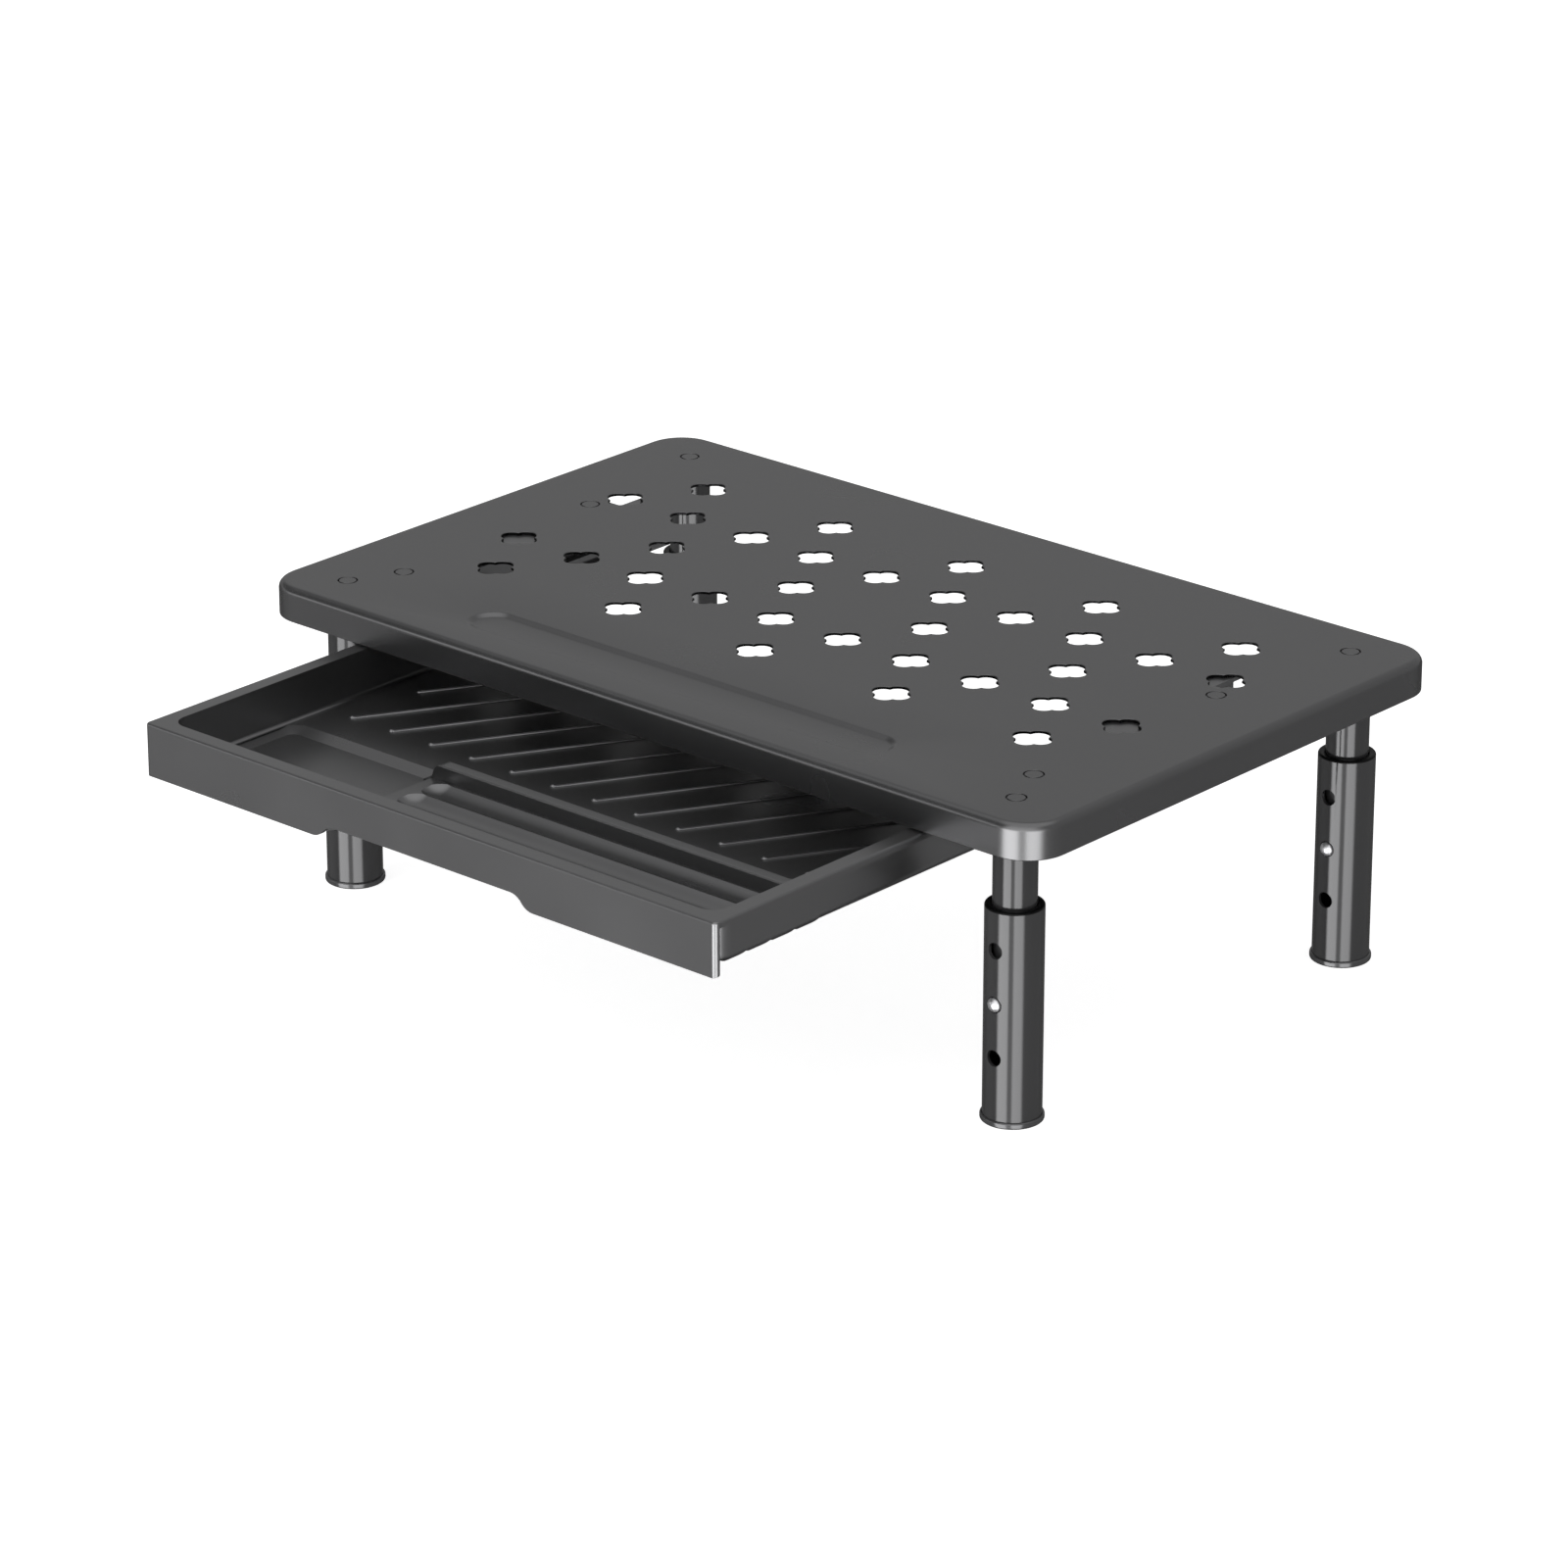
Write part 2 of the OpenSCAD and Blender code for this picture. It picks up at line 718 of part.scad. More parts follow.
// Raised block that the troughs are cut into, with a level ridge on its left
module pen_tray_block() {
    intersection() {
        translate([-ridge_left, tray_front - wall_t / 2, tray_lift])
            cube([ridge_left + drawer_w / 2, divider_y + wall_t - tray_front, crest_top - tray_lift]);
        tray_tub(tray_lift);
    }
    trough_shells();
}

// All the troughs as rounded grooves of the given radius, with round left ends
module trough_row(r, right) {
    end_x = -trough_left + trough_pitch / 2;
    for (k = [0:trough_count - 1])
        translate([end_x, trough_start + (k + 1 / 2) * trough_pitch, trough_bottom + trough_r]) {
            rotate([0, 90, 0]) cylinder(right - end_x, r = r, $fn = 96);
            sphere(r, $fn = 96);
        }
}

// Space in the troughs
module troughs() {
    intersection() {
        trough_row(trough_r, tray_x);
        translate([-trough_left, trough_start, 0])
            cube([trough_left + tray_x, trough_count * trough_pitch, crest_top + trough_depth]);
    }
}

// Rounded undersides of the troughs, which wave along the tray's bottom edge on the right
module trough_shells() {
    drop = tray_lift - trough_bottom + trough_wall;
    intersection() {
        trough_row(trough_r + trough_wall, drawer_w / 2);
        translate([-trough_left, trough_start, 0])
            cube([drawer_w, trough_count * trough_pitch, tray_lift + tray_edge_r]);
        tray_tub(tray_lift - drop);
    }
}

// Outside of the tray, down to the given level
module tray_tub(level) {
    translate([0, (tray_front + tray_back) / 2, level])
        tub(2 * tray_x + 2 * wall_t, tray_back - tray_front + 2 * wall_t,
            front_h - flange_t / 2 - tray_lift, tray_corner_r + wall_t, tray_edge_r);
}

// Hollow divider behind the pen tray, with a curved left end
module divider() {
    intersection() {
        translate([0, divider_y, 0])
            rotate([90, 0, 90])
                linear_extrude(2 * drawer_w, center = true) divider_section();
        translate([0, divider_y + divider_t, 0])
            rotate([90, 0, 0]) linear_extrude(divider_t) divider_side();
        tray_tub(tray_lift);
    }
}

// Section across the divider, rounded along its top
module divider_section() {
    top = floor_top + divider_h;
    square([divider_t, top - divider_edge_r]);
    translate([divider_edge_r, 0]) square([divider_t - 2 * divider_edge_r, top]);
    for (y = [divider_edge_r, divider_t - divider_edge_r])
        translate([y, top - divider_edge_r]) circle(divider_edge_r);
}

// Side view of the divider, from its curved left end to the tray's right wall
module divider_side() {
    top = floor_top + divider_h;
    translate([-divider_left, tray_lift]) square([divider_left + tray_x + wall_t, top - tray_lift]);
    translate([-divider_left - divider_curve, tray_lift]) square([divider_curve, floor_top - tray_lift]);
    translate([-divider_left, floor_top]) mirror([1, 0]) s_curve(divider_curve, divider_h);
}

// Hollow under the divider
module divider_hollow() {
    translate([-divider_left + divider_wall, divider_y + divider_wall, -overrun])
        cube([divider_left + tray_x - 2 * divider_wall, divider_t - 2 * divider_wall,
              floor_top + divider_h - divider_wall + overrun]);
}

// Slanted ribs on the floor, each with round ends
module floor_ribs() {
    field_back = tray_back - rib_margin;
    field_x = tray_x - rib_margin;
    starts = concat(
        [for (x = [-field_x:rib_pitch:field_x]) [x, rib_start]],
        [for (y = [rib_start:rib_pitch * tan(rib_angle):field_back]) if (y > rib_start) [-field_x, y]]
    );
    for (start = starts) {
        run = min((field_back - start[1]) / sin(rib_angle), (field_x - start[0]) / cos(rib_angle));
        if (run > rib_w)
            translate([start[0], start[1], floor_top - floor_t / 2])
                linear_extrude(rib_h + floor_t / 2)
                    rotate(rib_angle) translate([run / 2, 0]) long_hole(run, rib_w);
    }
}

// Size and place of the pocket's rim, whose right slope lies under the ridge
pocket_right = ridge_left - pocket_slope;
pocket_w = tray_x - pocket_right;
pocket_d = pocket_back - tray_front + 2 * pocket_corner_r;
pocket_x = -(tray_x + pocket_right) / 2;
pocket_y = pocket_back - pocket_d / 2;

// Pocket sunk into the floor, open to the front wall and walled by the ridge on its right
module pocket() {
    pocket_form(0, floor_top, pocket_depth);
}

// Shell under the pocket
module pocket_shell() {
    pocket_form(wall_t / 2, floor_top - floor_t / 2, pocket_depth + pocket_floor_t - floor_t / 2);
}

// The pocket's shape, grown sideways and cut off at the front wall
module pocket_form(grow, level, depth) {
    intersection() {
        translate([pocket_x, pocket_y, level])
            basin(pocket_w + 2 * grow, pocket_d + 2 * grow, depth, pocket_corner_r + grow, pocket_slope);
        translate([-drawer_w, tray_front - grow, 0]) cube([2 * drawer_w, drawer_len, front_h]);
    }
}

deck();
rail_left();
rail_right();
leg_studs();
rail_studs();
rail_nuts();
upper_tube(-1, -1);  // upper_tube_front_left
upper_tube(1, -1);  // upper_tube_front_right
upper_tube(-1, 1);  // upper_tube_back_left
upper_tube(1, 1);  // upper_tube_back_right
leg_plug(-1, -1);  // leg_plug_front_left
leg_plug(1, -1);  // leg_plug_front_right
leg_plug(-1, 1);  // leg_plug_back_left
leg_plug(1, 1);  // leg_plug_back_right
lower_tube(-1, -1);  // lower_tube_front_left
lower_tube(1, -1);  // lower_tube_front_right
lower_tube(-1, 1);  // lower_tube_back_left
lower_tube(1, 1);  // lower_tube_back_right
guide_bush(-1, -1);  // guide_bush_front_left
guide_bush(1, -1);  // guide_bush_front_right
guide_bush(-1, 1);  // guide_bush_back_left
guide_bush(1, 1);  // guide_bush_back_right
foot_cap(-1, -1);  // foot_cap_front_left
foot_cap(1, -1);  // foot_cap_front_right
foot_cap(-1, 1);  // foot_cap_back_left
foot_cap(1, 1);  // foot_cap_back_right
button_clip(-1, -1);  // button_clip_front_left
button_clip(1, -1);  // button_clip_front_right
button_clip(-1, 1);  // button_clip_back_left
button_clip(1, 1);  // button_clip_back_right
drawer();
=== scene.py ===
"""Looks of a laptop stand with a drawer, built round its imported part.

The platform, the rails and the upper tubes are fixed; the drawer, the four lower legs and the four
height buttons move. Sizes in the classes below are in millimetres and angles in degrees; meshes are
made in metres, in the part's own frame, with +Z up and the drawer opening towards -Y.
"""
import logging
import math
from collections.abc import Mapping, Sequence
from dataclasses import dataclass, field
from enum import Enum
from functools import cache

import bmesh
import bpy
import numpy as np
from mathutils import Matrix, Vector
from mathutils.geometry import delaunay_2d_cdt


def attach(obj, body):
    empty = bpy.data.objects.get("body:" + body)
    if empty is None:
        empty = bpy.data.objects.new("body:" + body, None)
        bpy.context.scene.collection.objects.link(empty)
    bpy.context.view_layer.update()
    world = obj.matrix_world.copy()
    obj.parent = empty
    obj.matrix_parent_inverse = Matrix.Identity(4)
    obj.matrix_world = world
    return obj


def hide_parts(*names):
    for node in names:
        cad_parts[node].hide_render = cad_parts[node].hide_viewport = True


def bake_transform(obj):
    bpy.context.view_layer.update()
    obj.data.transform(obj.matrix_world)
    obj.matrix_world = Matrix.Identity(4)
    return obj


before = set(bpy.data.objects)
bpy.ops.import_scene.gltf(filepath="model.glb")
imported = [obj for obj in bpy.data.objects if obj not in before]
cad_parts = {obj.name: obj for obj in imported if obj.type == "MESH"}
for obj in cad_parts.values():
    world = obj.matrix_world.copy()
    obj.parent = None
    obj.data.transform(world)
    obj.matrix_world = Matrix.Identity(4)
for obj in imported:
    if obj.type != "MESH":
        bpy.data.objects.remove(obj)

MM = 0.001
NOISE_SPAN = (0.3, 0.7)  # the values that a noise mostly keeps between
SLOW_DETAIL, FINE_DETAIL = 3.0, 2.0  # octaves of the slow drift and of the grain
ROUND_STEPS, TUBE_STEPS = 48, 72  # steps round small turned pieces and round the legs' turned pieces
JOIN = 0.002  # distance in millimetres within which points are merged
log = logging.getLogger("laptop_stand")
Pair = tuple[float, float]
Triple = tuple[float, float, float]
Socket = bpy.types.NodeSocket


class Corner(Enum):
    """The four corners, each with its side along X and along Y."""

    FRONT_LEFT = (-1, -1)
    FRONT_RIGHT = (1, -1)
    BACK_LEFT = (-1, 1)
    BACK_RIGHT = (1, 1)


def linear(hex_colour: str) -> tuple[float, float, float, float]:
    """Turns an sRGB colour into the linear colour that shaders take.

    Args:
        hex_colour: The colour as "#rrggbb".

    Returns:
        Red, green, blue and an alpha of 1, each linear.
    """
    channels = (int(hex_colour[i:i + 2], 16) / 255 for i in (1, 3, 5))
    return (*(c / 12.92 if c <= 0.04045 else ((c + 0.055) / 1.055) ** 2.4 for c in channels), 1.0)


def towards(azimuth: float, elevation: float) -> Vector:
    """Gives the direction of a place round the object.

    Args:
        azimuth: Its angle in degrees from the front towards the right.
        elevation: Its angle in degrees above the horizon.

    Returns:
        A vector of length 1 from the object's middle to the place.
    """
    turn, rise = math.radians(azimuth), math.radians(elevation)
    return Vector((math.sin(turn) * math.cos(rise), -math.cos(turn) * math.cos(rise), math.sin(rise)))


def round_way(steps: int) -> np.ndarray:
    """Directions in plan at equal angles round a full circle (steps x 2)."""
    turn = np.linspace(0, 2 * math.pi, steps + 1)[:-1]
    return np.stack([np.cos(turn), np.sin(turn)], axis=1)


def add_node(tree: bpy.types.NodeTree, kind: str, settings: Mapping[str | int, object] | None = None,
             links: Mapping[str | int, Socket] | None = None) -> bpy.types.Node:
    """Adds a shader node with its settings and links.

    Args:
        tree: The node tree that gets the node.
        kind: The node's type, without its "ShaderNode" prefix.
        settings: Values by attribute, or by the name or number of an input.
        links: Sockets by the name or number of the input that each one feeds.

    Returns:
        The new node.
    """
    node = tree.nodes.new("ShaderNode" + kind)
    for name, value in (settings or {}).items():
        if isinstance(name, str) and hasattr(node, name):
            setattr(node, name, value)
        else:
            node.inputs[name].default_value = value
    for name, socket in (links or {}).items():
        tree.links.new(socket, node.inputs[name])
    return node


def new_material(name: str) -> bpy.types.Material:
    """Makes an empty node material.

    Args:
        name: The material's name.

    Returns:
        The material.
    """
    material = bpy.data.materials.new(name)
    material.use_nodes = True
    material.node_tree.nodes.clear()
    return material


@dataclass(frozen=True)
class Coat:
    """A surface of paint, plastic or metal with a fine grain and slow drifts of tone and gloss.

    Attributes:
        name: The finish's name.
        light: Colour where the slow drift is lightest.
        dark: Colour where it is darkest.
        roughness: Middle roughness.
        roughness_drift: How far the roughness drifts each way.
        grain: Spacing of the grain's bumps in millimetres.
        grain_height: Height of the bumps in millimetres.
        drift: Size of the slow drift's patches in millimetres.
        metallic: 1 for bare metal.
        specular: Specular level; 0.5 is a plain dielectric of the given IOR.
        ior: Index of refraction of a dielectric.
        hole_shade_tone: Near-black colour painted on the walls of punched holes, where a mesh marks
        them: painted shade inside the holes.
    """

    name: str
    light: str
    dark: str
    roughness: float
    roughness_drift: float
    grain: float
    grain_height: float
    drift: float = 55.0
    metallic: float = 0.0
    specular: float = 0.5
    ior: float = 1.5
    # near black, painted on the walls of punched holes as painted shade
    hole_shade_tone: str = "#141415"

    @cache
    def material(self) -> bpy.types.Material:
        """Builds the finish as a node material, once for all the pieces that wear it.

        A fine noise in object space makes the grain and a slow one mixes the two tones and moves the
        roughness, so that no face is one flat colour.

        Returns:
            The material.
        """
        made = new_material(self.name)
        tree = made.node_tree
        place = add_node(tree, "TexCoord").outputs["Object"]
        slow = add_node(tree, "TexNoise", {"Scale": 1 / (self.drift * MM), "Detail": SLOW_DETAIL},
                        {"Vector": place})
        fine = add_node(tree, "TexNoise", {"Scale": 1 / (self.grain * MM), "Detail": FINE_DETAIL},
                        {"Vector": place})
        tone = add_node(tree, "Mix", {"data_type": "RGBA", 6: linear(self.dark), 7: linear(self.light)},
                        {"Factor": slow.outputs["Fac"]})
        gloss = add_node(tree, "MapRange", {
            "From Min": NOISE_SPAN[0], "From Max": NOISE_SPAN[1],
            "To Min": self.roughness - self.roughness_drift,
            "To Max": self.roughness + self.roughness_drift,
        }, {"Value": slow.outputs["Fac"]})
        bump = add_node(tree, "Bump", {"Strength": 1.0, "Distance": self.grain_height * MM},
                        {"Height": fine.outputs["Fac"]})
        # The walls of punched holes, marked on the mesh, are painted near black: painted shade inside
        # the holes.
        cut = add_node(tree, "Attribute", {"attribute_name": "hole_wall_shade"})
        tone = add_node(tree, "Mix", {"data_type": "RGBA", 7: linear(self.hole_shade_tone)},
                        {0: cut.outputs["Fac"], 6: tone.outputs[2]})
        shader = add_node(tree, "BsdfPrincipled", {
            "Metallic": self.metallic, "Specular IOR Level": self.specular, "IOR": self.ior,
        }, {"Base Color": tone.outputs[2], "Roughness": gloss.outputs["Result"],
            "Normal": bump.outputs["Normal"]})
        add_node(tree, "OutputMaterial", links={"Surface": shader.outputs["BSDF"]})
        return made


# Pressed steel sheet under powder paint with metal flake, baked on: it flows into a nearly flat skin
# with a faint orange peel, so the eye sees a dark grey with soft, wide lights and hardly any white haze.
SHEET_PAINT = Coat(
    "powder_coated_sheet", "#707071", "#6b6b6c", roughness=0.26, roughness_drift=0.02, grain=0.45,
    grain_height=0.0015, metallic=0.9)
# Drawn steel tube under sprayed, stoved enamel: thin and glossy, so each lamp is a sharp upright stripe
# between dark bands.
TUBE_PAINT = Coat(
    "enamelled_tube", "#5a5a5b", "#575758", roughness=0.12, roughness_drift=0.02, grain=0.9,
    grain_height=0.001, metallic=0.35, specular=0.4)
# ABS with grey flake, moulded in a finely spark-eroded tool: an even satin grain, so the lights in its
# troughs are broad and dull and its flat faces look like one tone.
MOULDED_ABS = Coat(
    "moulded_abs", "#7e7e7f", "#7b7b7c", roughness=0.29, roughness_drift=0.02, grain=0.3,
    grain_height=0.0006, metallic=0.93)
# Nylon coloured through with soot, moulded and left as it comes: it swallows light and has only a weak
# sheen, so the bush is a black ring on the grey tube.
BLACK_NYLON = Coat(
    "black_nylon", "#0c0c0d", "#090909", roughness=0.38, roughness_drift=0.03, grain=0.4,
    grain_height=0.004, specular=0.15)
# Grey plastic of the foot caps, moulded in a polished tool to go with the tubes: nearly their gloss,
# with a bright line along each rounded edge.
FOOT_PLASTIC = Coat(
    "foot_plastic", "#68686a", "#646465", roughness=0.16, roughness_drift=0.03, grain=0.4,
    grain_height=0.001, metallic=0.4)
# Nickel plate on turned or pressed steel: bare light metal that shows its surroundings softly, with
# small clouds of duller plate.
PLATED_STEEL = Coat(
    "plated_steel", "#e4e4e6", "#d8d8da", roughness=0.33, roughness_drift=0.05, grain=0.35,
    grain_height=0.002, drift=6.0, metallic=0.7)
# Spring steel rolled to a strip and blued by its hardening: a darker, slightly cold metal with the fine
# grain of the rolls.
SPRING_STEEL = Coat(
    "blued_spring_steel", "#7d8085", "#6a6d73", roughness=0.34, roughness_drift=0.05, grain=0.25,
    grain_height=0.001, drift=4.0, metallic=1.0)


@dataclass(frozen=True)
class Camera:
    """The photograph's viewpoint: a long lens from the right, above and in front.

    Attributes:
        azimuth: Angle round the object from its front towards its right.
        elevation: Angle above the horizon.
        distance: Distance from the target in millimetres.
        target: Point that the lens is aimed at, in millimetres.
        lens: Focal length in millimetres.
        sensor: Width of the sensor in millimetres.
        reach: Distance in metres that the camera sees to.
    """

    azimuth: float = 41.70
    elevation: float = 21.91
    distance: float = 2403.12
    target: Triple = (-2.34, -29.0, 61.0)
    lens: float = 151.73
    sensor: float = 36.0
    reach: float = 20.0

    def build(self) -> None:
        """Adds the camera and makes it the scene's own."""
        data = bpy.data.cameras.new("photo_camera")
        data.sensor_width = self.sensor
        data.lens = self.lens
        data.clip_end = self.reach
        camera = bpy.data.objects.new("photo_camera", data)
        back = towards(self.azimuth, self.elevation)
        target = Vector(self.target) * MM
        camera.location = target + back * self.distance * MM
        camera.rotation_euler = back.to_track_quat("Z", "Y").to_euler()
        bpy.context.scene.collection.objects.link(camera)
        bpy.context.scene.camera = camera


@dataclass(frozen=True)
class Softbox:
    """A square area lamp aimed at the object, left out of reflections, which the surround makes.

    Attributes:
        name: The lamp's name.
        azimuth: Its angle round the object, as the camera's.
        elevation: Its angle above the horizon.
        distance: Distance in metres.
        size: Side in metres.
        power: Power in watts.
    """

    name: str
    azimuth: float
    elevation: float
    distance: float
    size: float
    power: float

    def build(self) -> None:
        """Adds the lamp, turned to the object's middle."""
        data = bpy.data.lights.new(self.name, "AREA")
        data.shape = "SQUARE"
        data.size = self.size
        data.energy = self.power
        lamp = bpy.data.objects.new(self.name, data)
        lamp.visible_glossy = False
        back = towards(self.azimuth, self.elevation)
        lamp.location = back * self.distance
        lamp.rotation_euler = back.to_track_quat("Z", "Y").to_euler()
        bpy.context.scene.collection.objects.link(lamp)


@dataclass(frozen=True)
class Studio:
    """A plain studio: a pale floor, a white surround and soft lamps.

    Gloss sees the surround as rings of panels, one below the horizon and two above it. Heights of the
    rings are sines of the angle above the horizon.

    Attributes:
        surround: Strength of the surround as a light on rough surfaces.
        floor_tone: Colour of the floor.
        floor_size: Side of the floor in metres.
        floor_lift: Light that the camera alone sees in the floor, to make it white.
        low_glow: What gloss shows below the horizon, as pairs of azimuth and strength: two tall
            panels in front of the object, with a gap between them, and a dim floor behind it.
        mid_glow: The same just above the horizon: a wide panel in front and a weak one to its left.
        high_glow: The same further up: a weaker panel over the front, and little light elsewhere.
        overhead: What gloss shows straight above.
        depths: Heights between which the low ring comes up from its share at the nadir.
        nadir: That share.
        to_mid: Heights between which the low ring gives way to the middle one.
        to_high: Heights between which the middle ring gives way to the high one.
        to_top: Heights between which the high ring gives way to overhead.
        lamps: The soft lamps.
    """

    surround: float = 0.34
    floor_tone: str = "#e9e9e9"
    floor_size: float = 12.0
    floor_lift: float = 0.85
    low_glow: tuple[Pair, ...] = (
        (-180, 0.12), (-140, 0.12), (-90, 0.14), (-72, 0.32), (-52, 0.4), (-26, 0.34), (-17, 4.8),
        (16, 4.6), (22, 1.2), (34, 1.2), (40, 4.3), (70, 3.9), (80, 0.44), (128, 0.34), (148, 0.29),
        (168, 0.16), (180, 0.12),
    )
    mid_glow: tuple[Pair, ...] = (
        (-180, 0.4), (-100, 0.4), (-62, 0.7), (-54, 1.5), (-36, 1.5), (-28, 0.3), (-20, 0.3),
        (-14, 2.2), (66, 2.2), (90, 0.4), (180, 0.4),
    )
    high_glow: tuple[Pair, ...] = (
        (-180, 0.4), (-124, 0.4), (-110, 0.2), (-22, 0.16), (-16, 1.5), (56, 1.5), (84, 0.4), (180, 0.4),
    )
    overhead: float = 0.96
    depths: Pair = (-0.85, -0.6)
    nadir: float = 0.1
    to_mid: Pair = (0.02, 0.12)
    to_high: Pair = (0.22, 0.34)
    to_top: Pair = (0.72, 0.9)
    lamps: tuple[Softbox, ...] = (
        Softbox("front_softbox", azimuth=-14.0, elevation=38.0, distance=1.6, size=1.1, power=3.0),
        Softbox("top_softbox", azimuth=20.0, elevation=78.0, distance=1.5, size=1.2, power=6.0),
    )

    def build(self) -> None:
        """Builds the floor, the surround and the lamps, and sets the plain view."""
        self.build_floor()
        self.build_surround()
        for lamp in self.lamps:
            lamp.build()
        bpy.context.scene.view_settings.view_transform = "Standard"

    def build_floor(self) -> None:
        """Adds the floor, which looks white to the camera but keeps the object's shadow."""
        half = self.floor_size / 2
        mesh = bpy.data.meshes.new("floor")
        corners = [(-half, -half, 0), (half, -half, 0), (half, half, 0), (-half, half, 0)]
        mesh.from_pydata(corners, [], [(0, 1, 2, 3)])
        floor = bpy.data.objects.new("floor", mesh)
        floor.visible_glossy = False
        bpy.context.scene.collection.objects.link(floor)
        made = new_material("pale_floor")
        tree = made.node_tree
        rays = add_node(tree, "LightPath")
        matt = add_node(tree, "BsdfDiffuse", {"Color": linear(self.floor_tone)})
        glow = add_node(tree, "Emission", {"Strength": self.floor_lift})
        both = add_node(tree, "AddShader", links={0: matt.outputs["BSDF"], 1: glow.outputs["Emission"]})
        seen = add_node(tree, "MixShader", links={
            0: rays.outputs["Is Camera Ray"], 1: matt.outputs["BSDF"], 2: both.outputs["Shader"]})
        add_node(tree, "OutputMaterial", links={"Surface": seen.outputs["Shader"]})
        mesh.materials.append(made)

    def build_surround(self) -> None:
        """Builds the world: white to the camera, rings of panels to gloss, one dim tone to the rest."""
        world = bpy.data.worlds.new("studio")
        world.use_nodes = True
        world.cycles.sampling_method = "NONE"
        bpy.context.scene.world = world
        tree = world.node_tree
        tree.nodes.clear()
        rays = add_node(tree, "LightPath")
        way = add_node(tree, "SeparateXYZ", links={0: add_node(tree, "TexCoord").outputs["Generated"]})
        away = add_node(tree, "Math", {"operation": "MULTIPLY", 1: -1.0}, {0: way.outputs["Y"]})
        azimuth = add_node(tree, "Math", {"operation": "ARCTAN2"},
                           {0: way.outputs["X"], 1: away.outputs[0]})
        turn = add_node(tree, "MapRange", {"From Min": -math.pi, "From Max": math.pi},
                        {"Value": azimuth.outputs[0]}).outputs["Result"]
        height = way.outputs["Z"]
        low = add_node(tree, "Math", {"operation": "MULTIPLY"}, {
            0: self.glow_by_azimuth(tree, self.low_glow, turn),
            1: self.fade(tree, height, self.depths, self.nadir)}).outputs[0]
        middle = self.glow_by_azimuth(tree, self.mid_glow, turn)
        high = self.glow_by_azimuth(tree, self.high_glow, turn)
        glossy = self.mix(tree, self.fade(tree, height, self.to_mid), low, middle)
        glossy = self.mix(tree, self.fade(tree, height, self.to_high), glossy, high)
        glossy = self.mix(tree, self.fade(tree, height, self.to_top), glossy, self.overhead)
        sharp = add_node(tree, "Math", {"operation": "MAXIMUM"}, {
            0: rays.outputs["Is Camera Ray"], 1: rays.outputs["Is Transmission Ray"]})
        plain = add_node(tree, "MapRange", {"To Min": self.surround, "To Max": 1.0},
                         {"Value": sharp.outputs[0]}).outputs["Result"]
        strength = self.mix(tree, rays.outputs["Is Glossy Ray"], plain, glossy)
        glow = add_node(tree, "Background", {"Color": (1.0, 1.0, 1.0, 1.0)}, {"Strength": strength})
        add_node(tree, "OutputWorld", links={"Surface": glow.outputs["Background"]})

    @staticmethod
    def fade(tree: bpy.types.NodeTree, height: Socket, span: Pair, least: float = 0.0) -> Socket:
        """Rises to 1 between two heights.

        Args:
            tree: The world's node tree.
            height: The height.
            span: Where the rise starts and where it ends.
            least: The value below the start.

        Returns:
            The risen value.
        """
        return add_node(tree, "MapRange", {"From Min": span[0], "From Max": span[1], "To Min": least},
                        {"Value": height}).outputs["Result"]

    @staticmethod
    def mix(tree: bpy.types.NodeTree, share: Socket, first: Socket, second: Socket | float) -> Socket:
        """Mixes two strengths.

        Args:
            tree: The world's node tree.
            share: The second one's share.
            first: The first strength.
            second: The second strength, a socket or a plain number.

        Returns:
            The mixed strength.
        """
        settings, links = {"data_type": "FLOAT"}, {0: share, 2: first}
        (settings if isinstance(second, float) else links)[3] = second
        return add_node(tree, "Mix", settings, links).outputs[0]

    @staticmethod
    def glow_by_azimuth(tree: bpy.types.NodeTree, glow: Sequence[Pair], turn: Socket) -> Socket:
        """Turns pairs of azimuth and strength into a strength that follows the azimuth.

        Args:
            tree: The world's node tree.
            glow: The pairs, from -180 to 180 degrees.
            turn: The azimuth as a share of a full turn.

        Returns:
            The strength.
        """
        peak = max(strength for _, strength in glow)
        ramp = add_node(tree, "ValToRGB", links={0: turn})
        stops = ramp.color_ramp.elements
        for angle, strength in glow[1:-1]:
            stops.new((angle + 180) / 360).color = (strength / peak,) * 3 + (1.0,)
        for stop, (_, strength) in zip((stops[0], stops[-1]), (glow[0], glow[-1])):
            stop.color = (strength / peak,) * 3 + (1.0,)
        glows = add_node(tree, "Math", {"operation": "MULTIPLY", 1: peak}, {0: ramp.outputs["Color"]})
        return glows.outputs[0]


def mesh_object(name: str, mesh: bpy.types.Mesh, body: str | None, coat: Coat,
                nodes: Sequence[str] = ()) -> bpy.types.Object:
    """Adds a finished mesh to the scene as a piece of the object.

    Args:
        name: The piece's name.
        mesh: Its mesh.
        body: The body that it rides on, or None to leave it on no body.
        coat: Its finish.
        nodes: The CAD nodes that it stands for.

    Returns:
        The new object.
    """
    piece = bpy.data.objects.new(name, mesh)
    bpy.context.scene.collection.objects.link(piece)
    mesh.materials.append(coat.material())
    if body:
        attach(piece, body)
    if nodes:
        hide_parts(*nodes)
    log.info("%s: %d faces on %s", name, len(mesh.polygons), body or "two bodies")
    return piece


def dress(coat: Coat, names: Sequence[str]) -> None:
    """Gives CAD nodes a finish in place of their plain one.

    Args:
        coat: The finish.
        names: The nodes' names.
    """
    for name in names:
        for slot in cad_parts[name].material_slots:
            slot.material = coat.material()
        log.info("%s: CAD node in %s", name, coat.name)


